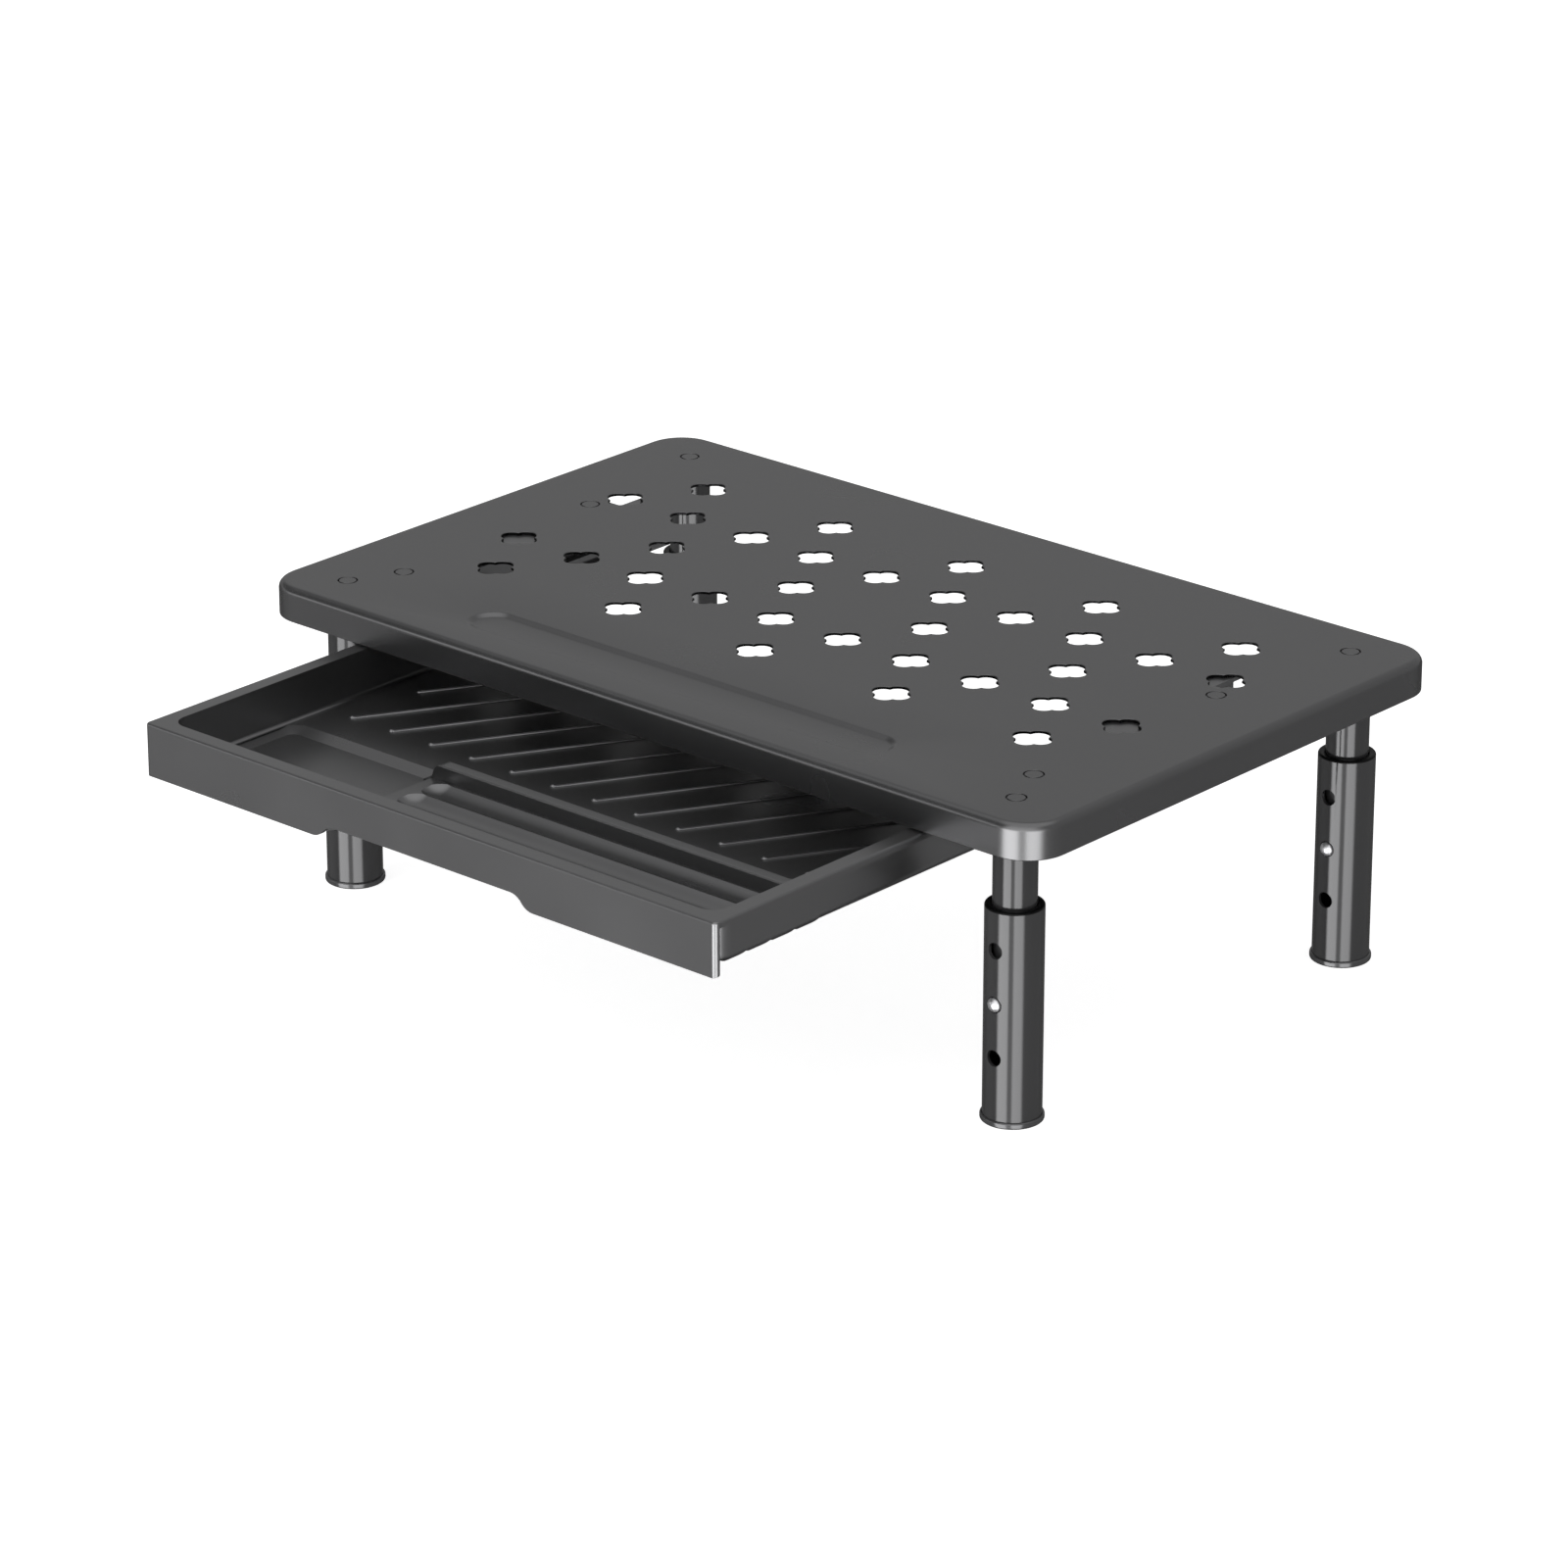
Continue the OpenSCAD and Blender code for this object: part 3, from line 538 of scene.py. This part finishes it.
@dataclass
class Surface:
    """Points and faces of one piece, gathered before they are made a mesh, in millimetres.

    Attributes:
        points: Blocks of points (n x 3).
        faces: Blocks of faces, each face as the numbers of its points.
        count: Number of points so far.
    """

    points: list[np.ndarray] = field(default_factory=list)
    faces: list[np.ndarray] = field(default_factory=list)
    count: int = 0

    def add(self, points: np.ndarray, faces: np.ndarray) -> None:
        """Adds a block of points and the faces between them.

        Args:
            points: The points (n x 3).
            faces: The faces (m x 3 or m x 4), as the points' numbers in the block.
        """
        self.points.append(points)
        self.faces.append(faces + self.count)
        self.count += len(points)

    def add_grid(self, grid: np.ndarray, closed: tuple[bool, bool] = (False, False)) -> None:
        """Adds a grid of points with a quad in each of its cells.

        Args:
            grid: Points as rows x columns x 3.
            closed: Whether the last row joins the first, and the last column the first.
        """
        rows, columns = grid.shape[:2]
        names = np.arange(rows * columns).reshape(rows, columns)
        if closed[0]:
            names = np.vstack([names, names[:1]])
        if closed[1]:
            names = np.hstack([names, names[:, :1]])
        cells = np.stack([names[:-1, :-1], names[:-1, 1:], names[1:, 1:], names[1:, :-1]], axis=-1)
        self.add(grid.reshape(-1, 3), cells.reshape(-1, 4))

    def mesh(self, name: str, crease: float = 40.0) -> bpy.types.Mesh:
        """Makes the mesh: doubles merged, faces turned outwards, smooth except at creases.

        Args:
            name: The mesh's name.
            crease: Angle in degrees past which an edge stays sharp.

        Returns:
            The mesh, in metres.
        """
        mesh = bpy.data.meshes.new(name)
        faces = [face for block in self.faces for face in block.tolist()]
        mesh.from_pydata(np.concatenate(self.points) * MM, [], faces)
        work = bmesh.new()
        work.from_mesh(mesh)
        bmesh.ops.remove_doubles(work, verts=work.verts, dist=JOIN * MM)
        bmesh.ops.recalc_face_normals(work, faces=work.faces)
        work.to_mesh(mesh)
        work.free()
        mesh.shade_smooth()
        mesh.set_sharp_from_angle(angle=math.radians(crease))
        return mesh


def carry(points: np.ndarray, outward: np.ndarray, profile: np.ndarray) -> np.ndarray:
    """Carries a profile along a closed loop in plan.

    Each point is the loop's point moved along its outward direction by the profile's offset, at the
    profile's height.

    Args:
        points: Points of the loop (n x 2).
        outward: Unit directions away from the loop's middle (n x 2).
        profile: Offsets and heights (m x 2).

    Returns:
        A grid of n x m x 3 points.
    """
    plan = points[:, None, :] + outward[:, None, :] * profile[None, :, :1]
    height = np.broadcast_to(profile[None, :, 1:], (*plan.shape[:2], 1))
    return np.concatenate([plan, height], axis=2)


def rounded_plan(half_x: float, half_y: float, radius: float,
                 per_corner: int) -> tuple[np.ndarray, np.ndarray]:
    """Outline of a rectangle with round corners: four quarter circles joined by straight sides.

    Args:
        half_x: Half its length along X.
        half_y: Half its depth along Y.
        radius: Radius of its corners.
        per_corner: Steps in each corner.

    Returns:
        The outline's points and its outward directions.
    """
    turn = np.linspace(0, math.pi / 2, per_corner + 1)
    angle = (np.arange(4)[:, None] * math.pi / 2 + turn[None, :]).ravel()
    outward = np.stack([np.cos(angle), np.sin(angle)], axis=1)
    side = np.repeat([[1, 1], [-1, 1], [-1, -1], [1, -1]], per_corner + 1, axis=0)
    return side * [half_x - radius, half_y - radius] + radius * outward, outward


def arc(middle: Pair, radius: float, first: float, last: float, steps: int) -> np.ndarray:
    """Points of a circular arc in a profile, from one angle in degrees to another."""
    angle = np.radians(np.linspace(first, last, steps + 1))
    return np.stack([middle[0] + radius * np.cos(angle), middle[1] + radius * np.sin(angle)], axis=1)


def flat_fill(outer: np.ndarray, holes: Sequence[np.ndarray]) -> tuple[np.ndarray, np.ndarray]:
    """Fills a flat outline that has holes with triangles.

    Args:
        outer: Points of the outline (n x 3), all at one height.
        holes: Points of each hole's outline, at the same height.

    Returns:
        The points and the triangles.
    """
    loops = [outer, *holes]
    starts = np.cumsum([0] + [len(loop) for loop in loops]).tolist()
    outlines = [list(range(first, last)) for first, last in zip(starts, starts[1:])]
    flat = [Vector(point) for loop in loops for point in loop[:, :2].tolist()]
    inside_only, merge = 1, 1e-6
    points, _, triangles, _, _, sources = delaunay_2d_cdt(flat, [], outlines, inside_only, merge)
    place = np.array([(*point, outer[0, 2]) for point in points])
    return place, np.array([triangle for triangle, source in zip(triangles, sources) if source == [0]])


@dataclass
class Platform:
    """The pressed steel platform with its vents, its pen groove and its flush studs.

    Attributes:
        half_x: Half its width.
        half_y: Half its depth.
        top: Height of its top face above the desk.
        skirt: Height of its skirt.
        sheet: Thickness of the sheet.
        corner: Radius of its corners in plan.
        edge: Outside radius between top and skirt.
        lip: Radius of the skirt's bottom edges.
        rims: Radii of the rounded rims of a vent and of a stud hole, above, and of both below.
        strips: Widths of the narrow flat strips beside the top's edge, beside the rims and above the
            skirt's bottom edges, which keep the shading of the faces even.
        lobe: Radius of a vent's lobes.
        lobe_off: Distance of the lobes from the vent's middle.
        vent_pitch: Spacing of the vents along X and Y.
        vent_reach: Number of columns and rows on each side of the middle ones.
        vent_shift: How far the vents' middle row lies behind the platform's middle.
        groove: Length, width and depth of the pen groove.
        groove_y: Place of the groove along Y.
        groove_slope: How wide the groove's soft walls are.
        groove_start: How far outside the groove's outline they start.
        stud_head: Radius of the flush stud heads.
        stud_groove: Width and depth of the groove round each head.
        stud_play: Gap between a head and its hole.
        legs: Half the distances between the legs.
        rail_studs: Places of the right rail's two studs.
        leg_shank: Radius and length of the shank of a stud over a leg.
        rail_shank: The same of a stud over a rail.
    """

    half_x: float = 185.0
    half_y: float = 114.0
    top: float = 119.0
    skirt: float = 13.0
    sheet: float = 1.2
    corner: float = 16.0
    edge: float = 3.0
    lip: float = 0.3
    rims: Triple = (0.4, 0.15, 0.25)
    strips: Triple = (0.4, 0.3, 0.2)
    lobe: float = 4.07
    lobe_off: float = 3.57
    vent_pitch: Pair = (16.13, 29.24)
    vent_reach: tuple[int, int] = (9, 2)
    vent_shift: float = 11.2
    groove: Triple = (198.0, 17.0, 1.2)
    groove_y: float = -88.5
    groove_slope: float = 3.2
    groove_start: float = 1.2
    stud_head: float = 3.7
    stud_groove: Pair = (0.5, 0.6)
    stud_play: float = 0.05
    legs: Pair = (160.3, 93.3)
    rail_studs: tuple[Pair, ...] = ((151.2, -73.1), (151.2, 27.3))
    leg_shank: Pair = (2.95, 10.0)
    rail_shank: Pair = (1.95, 6.0)

    def build(self) -> None:
        """Builds the sheet and the studs in place of their CAD nodes."""
        sheet = self.sheet_surface().mesh("platform_sheet")
        # The hole walls are marked so that the coat paints them near black as painted shade.
        self.mark_shaded_hole_walls(sheet)
        mesh_object("platform_sheet", sheet, "platform", SHEET_PAINT, ["deck"])
        places = self.stud_places()
        for name, shank in (("leg_studs", self.leg_shank), ("rail_studs", self.rail_shank)):
            studs = Surface()
            for place in places[name]:
                studs.add_grid(self.stud(place, shank), closed=(True, False))
            mesh_object(f"painted_{name}", studs.mesh(name), "platform",
                        SHEET_PAINT, [name])

    def stud_places(self) -> dict[str, list[Pair]]:
        """Works out where the studs stand, four over the legs and two along each rail.

        Returns:
            The places by the studs' CAD node.
        """
        return {
            "leg_studs": [(x * self.legs[0], y * self.legs[1]) for x in (-1, 1) for y in (-1, 1)],
            "rail_studs": [(x * place[0], place[1]) for x in (-1, 1) for place in self.rail_studs],
        }

    def vent_places(self) -> list[Pair]:
        """Works out the vents' middles: every second place in odd rows, every fourth in even ones.

        Returns:
            The middles.
        """
        columns, rows = self.vent_reach
        return [(i * self.vent_pitch[0], j * self.vent_pitch[1] + self.vent_shift)
                for j in range(-rows, rows + 1) for i in range(-columns, columns + 1)
                if (abs(i) % 2 == 1 if j % 2 else abs(i) % 4 == (2 + abs(j)) % 4)]

    def vent_grid(self, x: float, y: float, profile: np.ndarray) -> np.ndarray:
        """Carries a profile round a vent's four lobes.

        Each lobe is an arc about a point off the vent's middle. At every offset its radius grows with
        the offset, and it ends on the diagonal, where it meets the next lobe.

        Args:
            x: Place of the vent along X.
            y: Place of the vent along Y.
            profile: Offsets and heights (m x 2).

        Returns:
            A grid of points round the vent.
        """
        radius = self.lobe + profile[:, 0]
        meet = (self.lobe_off + np.sqrt(2 * radius ** 2 - self.lobe_off ** 2)) / 2
        half = np.arctan2(meet, meet - self.lobe_off)
        per_lobe = 12
        share = np.linspace(-1, 1, per_lobe + 1)[:-1]
        angle = share[:, None] * half[None, :]
        lobe = np.stack([self.lobe_off + radius * np.cos(angle), radius * np.sin(angle)], axis=2)
        turns = np.array([[[1, 0], [0, 1]], [[0, 1], [-1, 0]], [[-1, 0], [0, -1]], [[0, -1], [1, 0]]])
        plan = np.concatenate([lobe @ turn for turn in turns])
        height = np.broadcast_to(profile[None, :, 1:], (*plan.shape[:2], 1))
        return np.concatenate([plan + [x, y], height], axis=2)

    def hole_profile(self, rim: float) -> np.ndarray:
        """Profile of a punched hole's wall, with a rounded rim above and a small one below.

        Args:
            rim: Radius of the rim above.

        Returns:
            Offsets and heights (n x 2).
        """
        low, small, strip = self.top - self.sheet, self.rims[2], self.strips[1]
        return np.concatenate([
            [(rim + strip, self.top)], arc((rim, self.top - rim), rim, 90, 180, steps=4),
            arc((small, low + small), small, 180, 270, steps=2), [(small + strip, low)]])

    def sheet_surface(self) -> Surface:
        """Builds the sheet as one closed surface.

        Flat fills of the top and the underside are joined by profiles carried round the outline, the
        vents, the stud holes and the groove.

        Returns:
            The surface.
        """
        low, inner = self.top - self.sheet, self.edge - self.sheet
        bottom, lip = self.top - self.skirt, self.lip
        top_strip, _, skirt_strip = self.strips
        rim = np.concatenate([
            [(-self.edge - top_strip, self.top)],
            arc((-self.edge, self.top - self.edge), self.edge, 90, 0, steps=10),
            [(0, bottom + lip + skirt_strip)], arc((-lip, bottom + lip), lip, 0, -90, steps=3),
            arc((lip - self.sheet, bottom + lip), lip, -90, -180, steps=3),
            [(-self.sheet, bottom + lip + skirt_strip)],
            arc((-self.edge, low - inner), inner, 0, 90, steps=8), [(-self.edge - top_strip, low)]])
        made = Surface()
        plan, outward = rounded_plan(self.half_x, self.half_y, self.corner, per_corner=14)
        skirt = carry(plan, outward, rim)
        made.add_grid(skirt, closed=(True, False))
        grids = [self.vent_grid(x, y, self.hole_profile(self.rims[0])) for x, y in self.vent_places()]
        way, hole = round_way(ROUND_STEPS), self.stud_head + self.stud_play
        grids += [carry(way * hole + place, way, self.hole_profile(self.rims[1]))
                  for places in self.stud_places().values() for place in places]
        for grid in grids:
            made.add_grid(grid, closed=(True, False))
        length, width, depth = self.groove
        wall_steps = 12
        soft = np.linspace(0, 1, wall_steps + 1)
        step = np.stack([self.groove_start - self.groove_slope * soft,
                         self.top - depth * soft ** 2 * (3 - 2 * soft)], axis=1)
        under = step + [self.sheet, -self.sheet]
        bowl, away = rounded_plan(length / 2, width / 2, width / 2, per_corner=16)
        bowl = bowl + [0, self.groove_y]
        upper, lower = carry(bowl, away, step), carry(bowl, away, under)
        made.add_grid(upper, closed=(True, False))
        made.add_grid(lower, closed=(True, False))
        made.add(*flat_fill(upper[:, -1], []))
        made.add(*flat_fill(lower[:, -1], []))
        made.add(*flat_fill(skirt[:, 0], [grid[:, 0] for grid in grids] + [upper[:, 0]]))
        made.add(*flat_fill(skirt[:, -1], [grid[:, -1] for grid in grids] + [lower[:, 0]]))
        return made

    def mark_shaded_hole_walls(self, mesh: bpy.types.Mesh) -> None:
        """Marks the walls of the punched holes as "hole_wall_shade", which the coat paints near black
        as painted shade inside the holes.

        A point belongs to such a wall where it lies between the sheet's two faces, away from the
        outline and from the groove.

        Args:
            mesh: The sheet's mesh.
        """
        off_edge, off_groove, below_top, above_low = 0.5, 2.0, 0.12, 0.01
        place = np.empty(len(mesh.vertices) * 3)
        mesh.vertices.foreach_get("co", place)
        x, y, z = place.reshape(-1, 3).T / MM
        past_x = np.maximum(abs(x) - self.half_x + self.corner, 0)
        past_y = np.maximum(abs(y) - self.half_y + self.corner, 0)
        inside = np.hypot(past_x, past_y) < self.corner - self.edge - off_edge
        half_length, half_width = self.groove[0] / 2 + off_groove, self.groove[1] / 2 + off_groove
        groove = (abs(y - self.groove_y) < half_width) & (abs(x) < half_length)
        between = (z < self.top - below_top) & (z > self.top - self.sheet + above_low)
        # Points on the hole walls get 1, which the coat turns into painted shade.
        mark = mesh.attributes.new("hole_wall_shade", "FLOAT", "POINT")
        mark.data.foreach_set("value", (inside & ~groove & between).astype(float))

    def stud(self, place: Pair, shank: Pair) -> np.ndarray:
        """A stud turned about its axis: rounded head flush with the top, and a shank below it.

        Args:
            place: Its place along X and Y.
            shank: Radius and length of its shank.

        Returns:
            A grid of points round the stud.
        """
        low, rim, crown = self.top - self.sheet, 0.12, self.stud_head - self.stud_groove[0]
        shelf, (radius, length) = self.top - self.stud_groove[1], shank
        profile = np.concatenate([
            [(0.0, self.top), (crown - 2 * rim, self.top)],
            arc((crown - rim, self.top - rim), rim, 90, 0, steps=3),
            [(crown, shelf), (self.stud_head, shelf), (self.stud_head, low), (radius, low),
             (radius, low - length), (0.0, low - length)]])
        return carry(np.zeros((ROUND_STEPS, 2)) + place, round_way(ROUND_STEPS), profile)


@dataclass
class Drawer:
    """The moulded drawer: its tray with pen troughs, divider, pocket and slanted ribs.

    Attributes:
        face: Place of its front's face along Y.
        bottom: Height of its front's bottom edge.
        floor: Height of the tray's floor above that edge.
        rib_half_x: Half the width of the ribbed field.
        rib_start: Distance from the face to the ribbed field.
        rib_end: Distance from the face to the field's back.
        rib_pitch: Spacing of the ribs along X.
        rib_angle: Angle of the ribs from the drawer's front.
        rib: Width and height of a rib.
        rib_sink: How deep a rib's foot stands in the floor.
    """

    face: float = -218.5
    bottom: float = 85.5
    floor: float = 2.8
    rib_half_x: float = 116.5
    rib_start: float = 82.9
    rib_end: float = 173.0
    rib_pitch: float = 20.0
    rib_angle: float = 60.0
    rib: Pair = (2.2, 0.8)
    rib_sink: float = 0.4

    def build(self) -> None:
        """Dresses the moulding and builds the rounded ribs on its floor."""
        dress(MOULDED_ABS, ["drawer"])
        ribs = Surface()
        for start, run in self.rib_runs():
            ribs.add_grid(self.rib_shape(start, run), closed=(True, False))
        mesh_object("drawer_floor_ribs", ribs.mesh("drawer_floor_ribs", crease=60.0), "drawer",
                    MOULDED_ABS)

    def rib_runs(self) -> list[tuple[Pair, float]]:
        """Works out the ribs, which run from the field's front or left edge to its back or right one.

        Returns:
            Each rib's start and length.
        """
        turn, last = math.radians(self.rib_angle), 0.01
        along = np.arange(-self.rib_half_x, self.rib_half_x + last, self.rib_pitch)
        step = self.rib_pitch * math.tan(turn)
        starts = [(x, self.rib_start) for x in along]
        starts += [(-self.rib_half_x, y) for y in np.arange(self.rib_start + step, self.rib_end, step)]
        runs = [((x, y), min((self.rib_end - y) / math.sin(turn),
                             (self.rib_half_x - x) / math.cos(turn))) for x, y in starts]
        return [(start, run) for start, run in runs if run > self.rib[0]]

    def rib_shape(self, start: Pair, run: float) -> np.ndarray:
        """A rib: half an ellipse across, with round ends, standing on the floor.

        Round the rib the points follow a long hole's outline, drawn in towards its middle line by the
        cosine of a rise from 0 to 90 degrees, and lifted by the sine of that rise.

        Args:
            start: Middle of its first round end.
            run: Length between the middles of its ends.

        Returns:
            A grid of points round the rib.
        """
        width, height = self.rib
        per_end, per_rise = 13, 7
        turn = np.linspace(0, math.pi, per_end)
        ends = np.concatenate([turn - math.pi / 2, turn + math.pi / 2])
        out = np.stack([np.cos(ends), np.sin(ends)], axis=1)
        middle = np.repeat([[run, 0.0], [0.0, 0.0]], per_end, axis=0)
        rise = np.linspace(0, math.pi / 2, per_rise)
        profile = np.stack([width / 2 * np.cos(rise), height * np.sin(rise)], axis=1)
        profile = np.concatenate([[(width / 2, -self.rib_sink)], profile])
        grid = carry(middle, out, profile)
        tilt = math.radians(self.rib_angle)
        along, across = math.cos(tilt), math.sin(tilt)
        plan = grid[..., :2] @ np.array([[along, across], [-across, along]])
        place = np.array([start[0], start[1] + self.face, self.bottom + self.floor])
        return np.concatenate([plan, grid[..., 2:]], axis=2) + place


@dataclass
class Leg:
    """One telescopic leg: two tubes, a bush between them, a foot cap and a spring button.

    Attributes:
        corner: The corner that it stands at.
        half_x: Half the distance between the legs along X.
        half_y: Half the distance between them along Y.
        tube: Outside radius of the lower tube.
        bore: Inside radius of the lower tube.
        slide: Inside radius of the bush, which runs on the upper tube.
        tube_top: Height of the lower tube's top.
        flange: Thickness of the bush's flange.
        sleeve: Length of the bush's sleeve.
        foot: Radius of the foot cap.
        foot_height: Height of the foot cap.
        foot_floor: Thickness of the cap under the tube.
        foot_edge: Radius of the cap's edges.
        spigot: Height of the cap's spigot above its floor, and its wall.
        lead: Size of the bevels at the mouths of the bush and on the spigot.
        button_at: Height of the button's middle.
        button: Radius of the button, height of its dome and distance of its tip from the leg's axis.
        strip: Distance of the spring strip's middle from the axis, its width and its thickness.
        strip_arm: Half the length of the strip's straight arms.
    """

    corner: Corner
    half_x: float = 160.3
    half_y: float = 93.3
    tube: float = 10.5
    bore: float = 9.25
    slide: float = 7.9
    tube_top: float = 79.7
    flange: float = 0.8
    sleeve: float = 10.0
    foot: float = 11.3
    foot_height: float = 2.4
    foot_floor: float = 1.6
    foot_edge: float = 0.7
    spigot: Pair = (4.0, 1.0)
    lead: float = 0.4
    button_at: float = 45.6
    button: Triple = (2.6, 1.5, 12.2)
    strip: Triple = (5.78, 4.9, 0.5)
    strip_arm: float = 6.5

    @property
    def end(self) -> str:
        """The corner's part of the leg's names, such as "front_left"."""
        return self.corner.name.lower()

    @property
    def axis(self) -> Pair:
        """Place of the leg's axis along X and Y."""
        side_x, side_y = self.corner.value
        return side_x * self.half_x, side_y * self.half_y

    def build(self) -> None:
        """Builds the turned pieces, the button and its spring, and dresses the tubes and the plug."""
        end = self.end
        dress(TUBE_PAINT, [f"upper_tube_{end}", f"lower_tube_{end}"])
        dress(BLACK_NYLON, [f"leg_plug_{end}"])
        self.turned(f"slide_bush_{end}", self.bush_profile(), BLACK_NYLON,
                    f"guide_bush_{end}")
        self.turned(f"rounded_foot_{end}", self.foot_profile(), FOOT_PLASTIC,
                    f"foot_cap_{end}")
        self.build_button()
        self.build_strip()

    def turned(self, name: str, profile: np.ndarray, coat: Coat, node: str) -> None:
        """Turns a closed profile about the leg's axis and adds it as a piece of the leg.

        Args:
            name: The piece's name.
            profile: Radii and heights round the profile (n x 2).
            coat: The piece's finish.
            node: The CAD node that it stands for.
        """
        middle = np.zeros((TUBE_STEPS, 2)) + self.axis
        made = Surface()
        made.add_grid(carry(middle, round_way(TUBE_STEPS), profile), closed=(True, True))
        mesh_object(name, made.mesh(name, crease=50.0), f"leg_{self.end}", coat, [node])

    def build_button(self) -> None:
        """Builds the snap button: a round pin with a domed end, turned about an axis along Y.

        The dome is a ball's cap: at an angle from the axis its radius is the ball's times the sine, and
        it ends where the pin begins.
        """
        end, (radius, dome, tip) = self.end, self.button
        ball = (radius ** 2 + dome ** 2) / (2 * dome)
        dome_steps, short = 8, 0.05
        rise = np.linspace(math.asin(radius / ball), 0, dome_steps + 1)
        profile = np.concatenate([
            [(0.0, self.strip[0]), (radius, self.strip[0]), (radius, tip - dome - short)],
            np.stack([ball * np.sin(rise), tip - ball + ball * np.cos(rise)], axis=1)])
        way = round_way(ROUND_STEPS)
        outward = np.broadcast_to(-profile[:, 1], (ROUND_STEPS, len(profile)))
        grid = np.stack([profile[:, 0] * way[:, :1], outward, profile[:, 0] * way[:, 1:]], axis=2)
        made = Surface()
        made.add_grid(grid + [*self.axis, self.button_at], closed=(True, False))
        mesh_object(f"snap_button_{end}", made.mesh(f"snap_button_{end}"), f"button_{end}",
                    PLATED_STEEL, [f"button_clip_{end}"])

    def build_strip(self) -> None:
        """Builds the bent spring strip, in the part's frame and on no body.

        An eight-sided section is carried down the front arm, round a half circle and up the back arm.
        """
        end, (reach, width, thick) = self.end, self.strip
        arm_steps, bend_steps = 8, 24
        bend = np.linspace(math.pi, 2 * math.pi, bend_steps + 1)
        round_bend = np.stack([np.cos(bend), np.sin(bend)], axis=1)
        arms = np.linspace(self.strip_arm, -self.strip_arm, arm_steps + 1)[:-1]
        path = np.concatenate([
            np.stack([np.full(arm_steps, -reach), arms], axis=1),
            reach * round_bend - [0, self.strip_arm],
            np.stack([np.full(arm_steps, reach), arms[::-1]], axis=1)])
        out = np.concatenate([np.tile([-1.0, 0.0], (arm_steps, 1)), round_bend,
                              np.tile([1.0, 0.0], (arm_steps, 1))])
        half, deep, cut = width / 2, thick / 2, 0.1
        section = np.array([
            (half, deep - cut), (half - cut, deep), (cut - half, deep), (-half, deep - cut),
            (-half, cut - deep), (cut - half, -deep), (half - cut, -deep), (half, cut - deep)])
        side = np.broadcast_to(section[:, 0], (len(path), len(section)))
        along = [path[:, i:i + 1] + out[:, i:i + 1] * section[:, 1] for i in (0, 1)]
        grid = np.stack([side, *along], axis=2)
        caps = [np.broadcast_to(row.mean(axis=0), (1, *row.shape)) for row in (grid[0], grid[-1])]
        middle = np.array([*self.axis, self.button_at])
        made = Surface()
        made.add_grid(np.concatenate([caps[0], grid, caps[1]]) + middle, closed=(False, True))
        strip = mesh_object(f"spring_strip_{end}", made.mesh(f"spring_strip_{end}"), None,
                            SPRING_STEEL)
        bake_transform(strip)

    def bush_profile(self) -> np.ndarray:
        """Profile of the bush: a sleeve inside the tube under a flange with a quarter-round edge.

        Returns:
            Radii and heights round the profile (n x 2).
        """
        top, low, lead = self.tube_top + self.flange, self.tube_top - self.sleeve, self.lead
        return np.concatenate([
            arc((self.tube - self.flange, self.tube_top), self.flange, 0, 90, steps=6),
            [(self.slide + lead, top), (self.slide, top - lead), (self.slide, low + lead),
             (self.slide + lead, low), (self.bore - lead, low), (self.bore, low + lead),
             (self.bore, self.tube_top)]])

    def foot_profile(self) -> np.ndarray:
        """Profile of the foot cap: a rounded cup round the tube's end, with a spigot inside it.

        Returns:
            Radii and heights round the profile (n x 2).
        """
        edge, side = self.foot_edge, self.foot - self.foot_edge
        inner, height = self.bore - self.spigot[1], self.foot_floor + self.spigot[0]
        play, dip = 0.03, 0.12
        return np.concatenate([
            [(0.0, 0.0)], arc((side, edge), edge, -90, 0, steps=5),
            arc((side, self.foot_height - edge), edge, 0, 90, steps=5),
            [(self.tube + play, self.foot_height - dip), (self.tube + play, self.foot_floor),
             (self.bore, self.foot_floor), (self.bore, height - self.lead),
             (self.bore - self.lead, height), (inner, height), (inner, self.foot_floor),
             (0.0, self.foot_floor)]])


@dataclass
class Rails:
    """The two moulded rails that carry the drawer, and the flanged nuts that hold them up.

    Attributes:
        rails: The rails' CAD nodes.
        nuts: The nuts' CAD node.
    """

    rails: tuple[str, str] = ("rail_left", "rail_right")
    nuts: str = "rail_nuts"

    def build(self) -> None:
        """Dresses the rails and the nuts."""
        dress(MOULDED_ABS, self.rails)
        dress(PLATED_STEEL, [self.nuts])


def main() -> None:
    """Builds the stand's looks, the studio and the camera, and logs each piece as it is made."""
    logging.basicConfig(level=logging.INFO, format="%(name)s: %(message)s")
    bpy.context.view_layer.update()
    Camera().build()
    Studio().build()
    Platform().build()
    Rails().build()
    Drawer().build()
    for corner in Corner:
        Leg(corner).build()


if __name__ == "__main__":
    main()
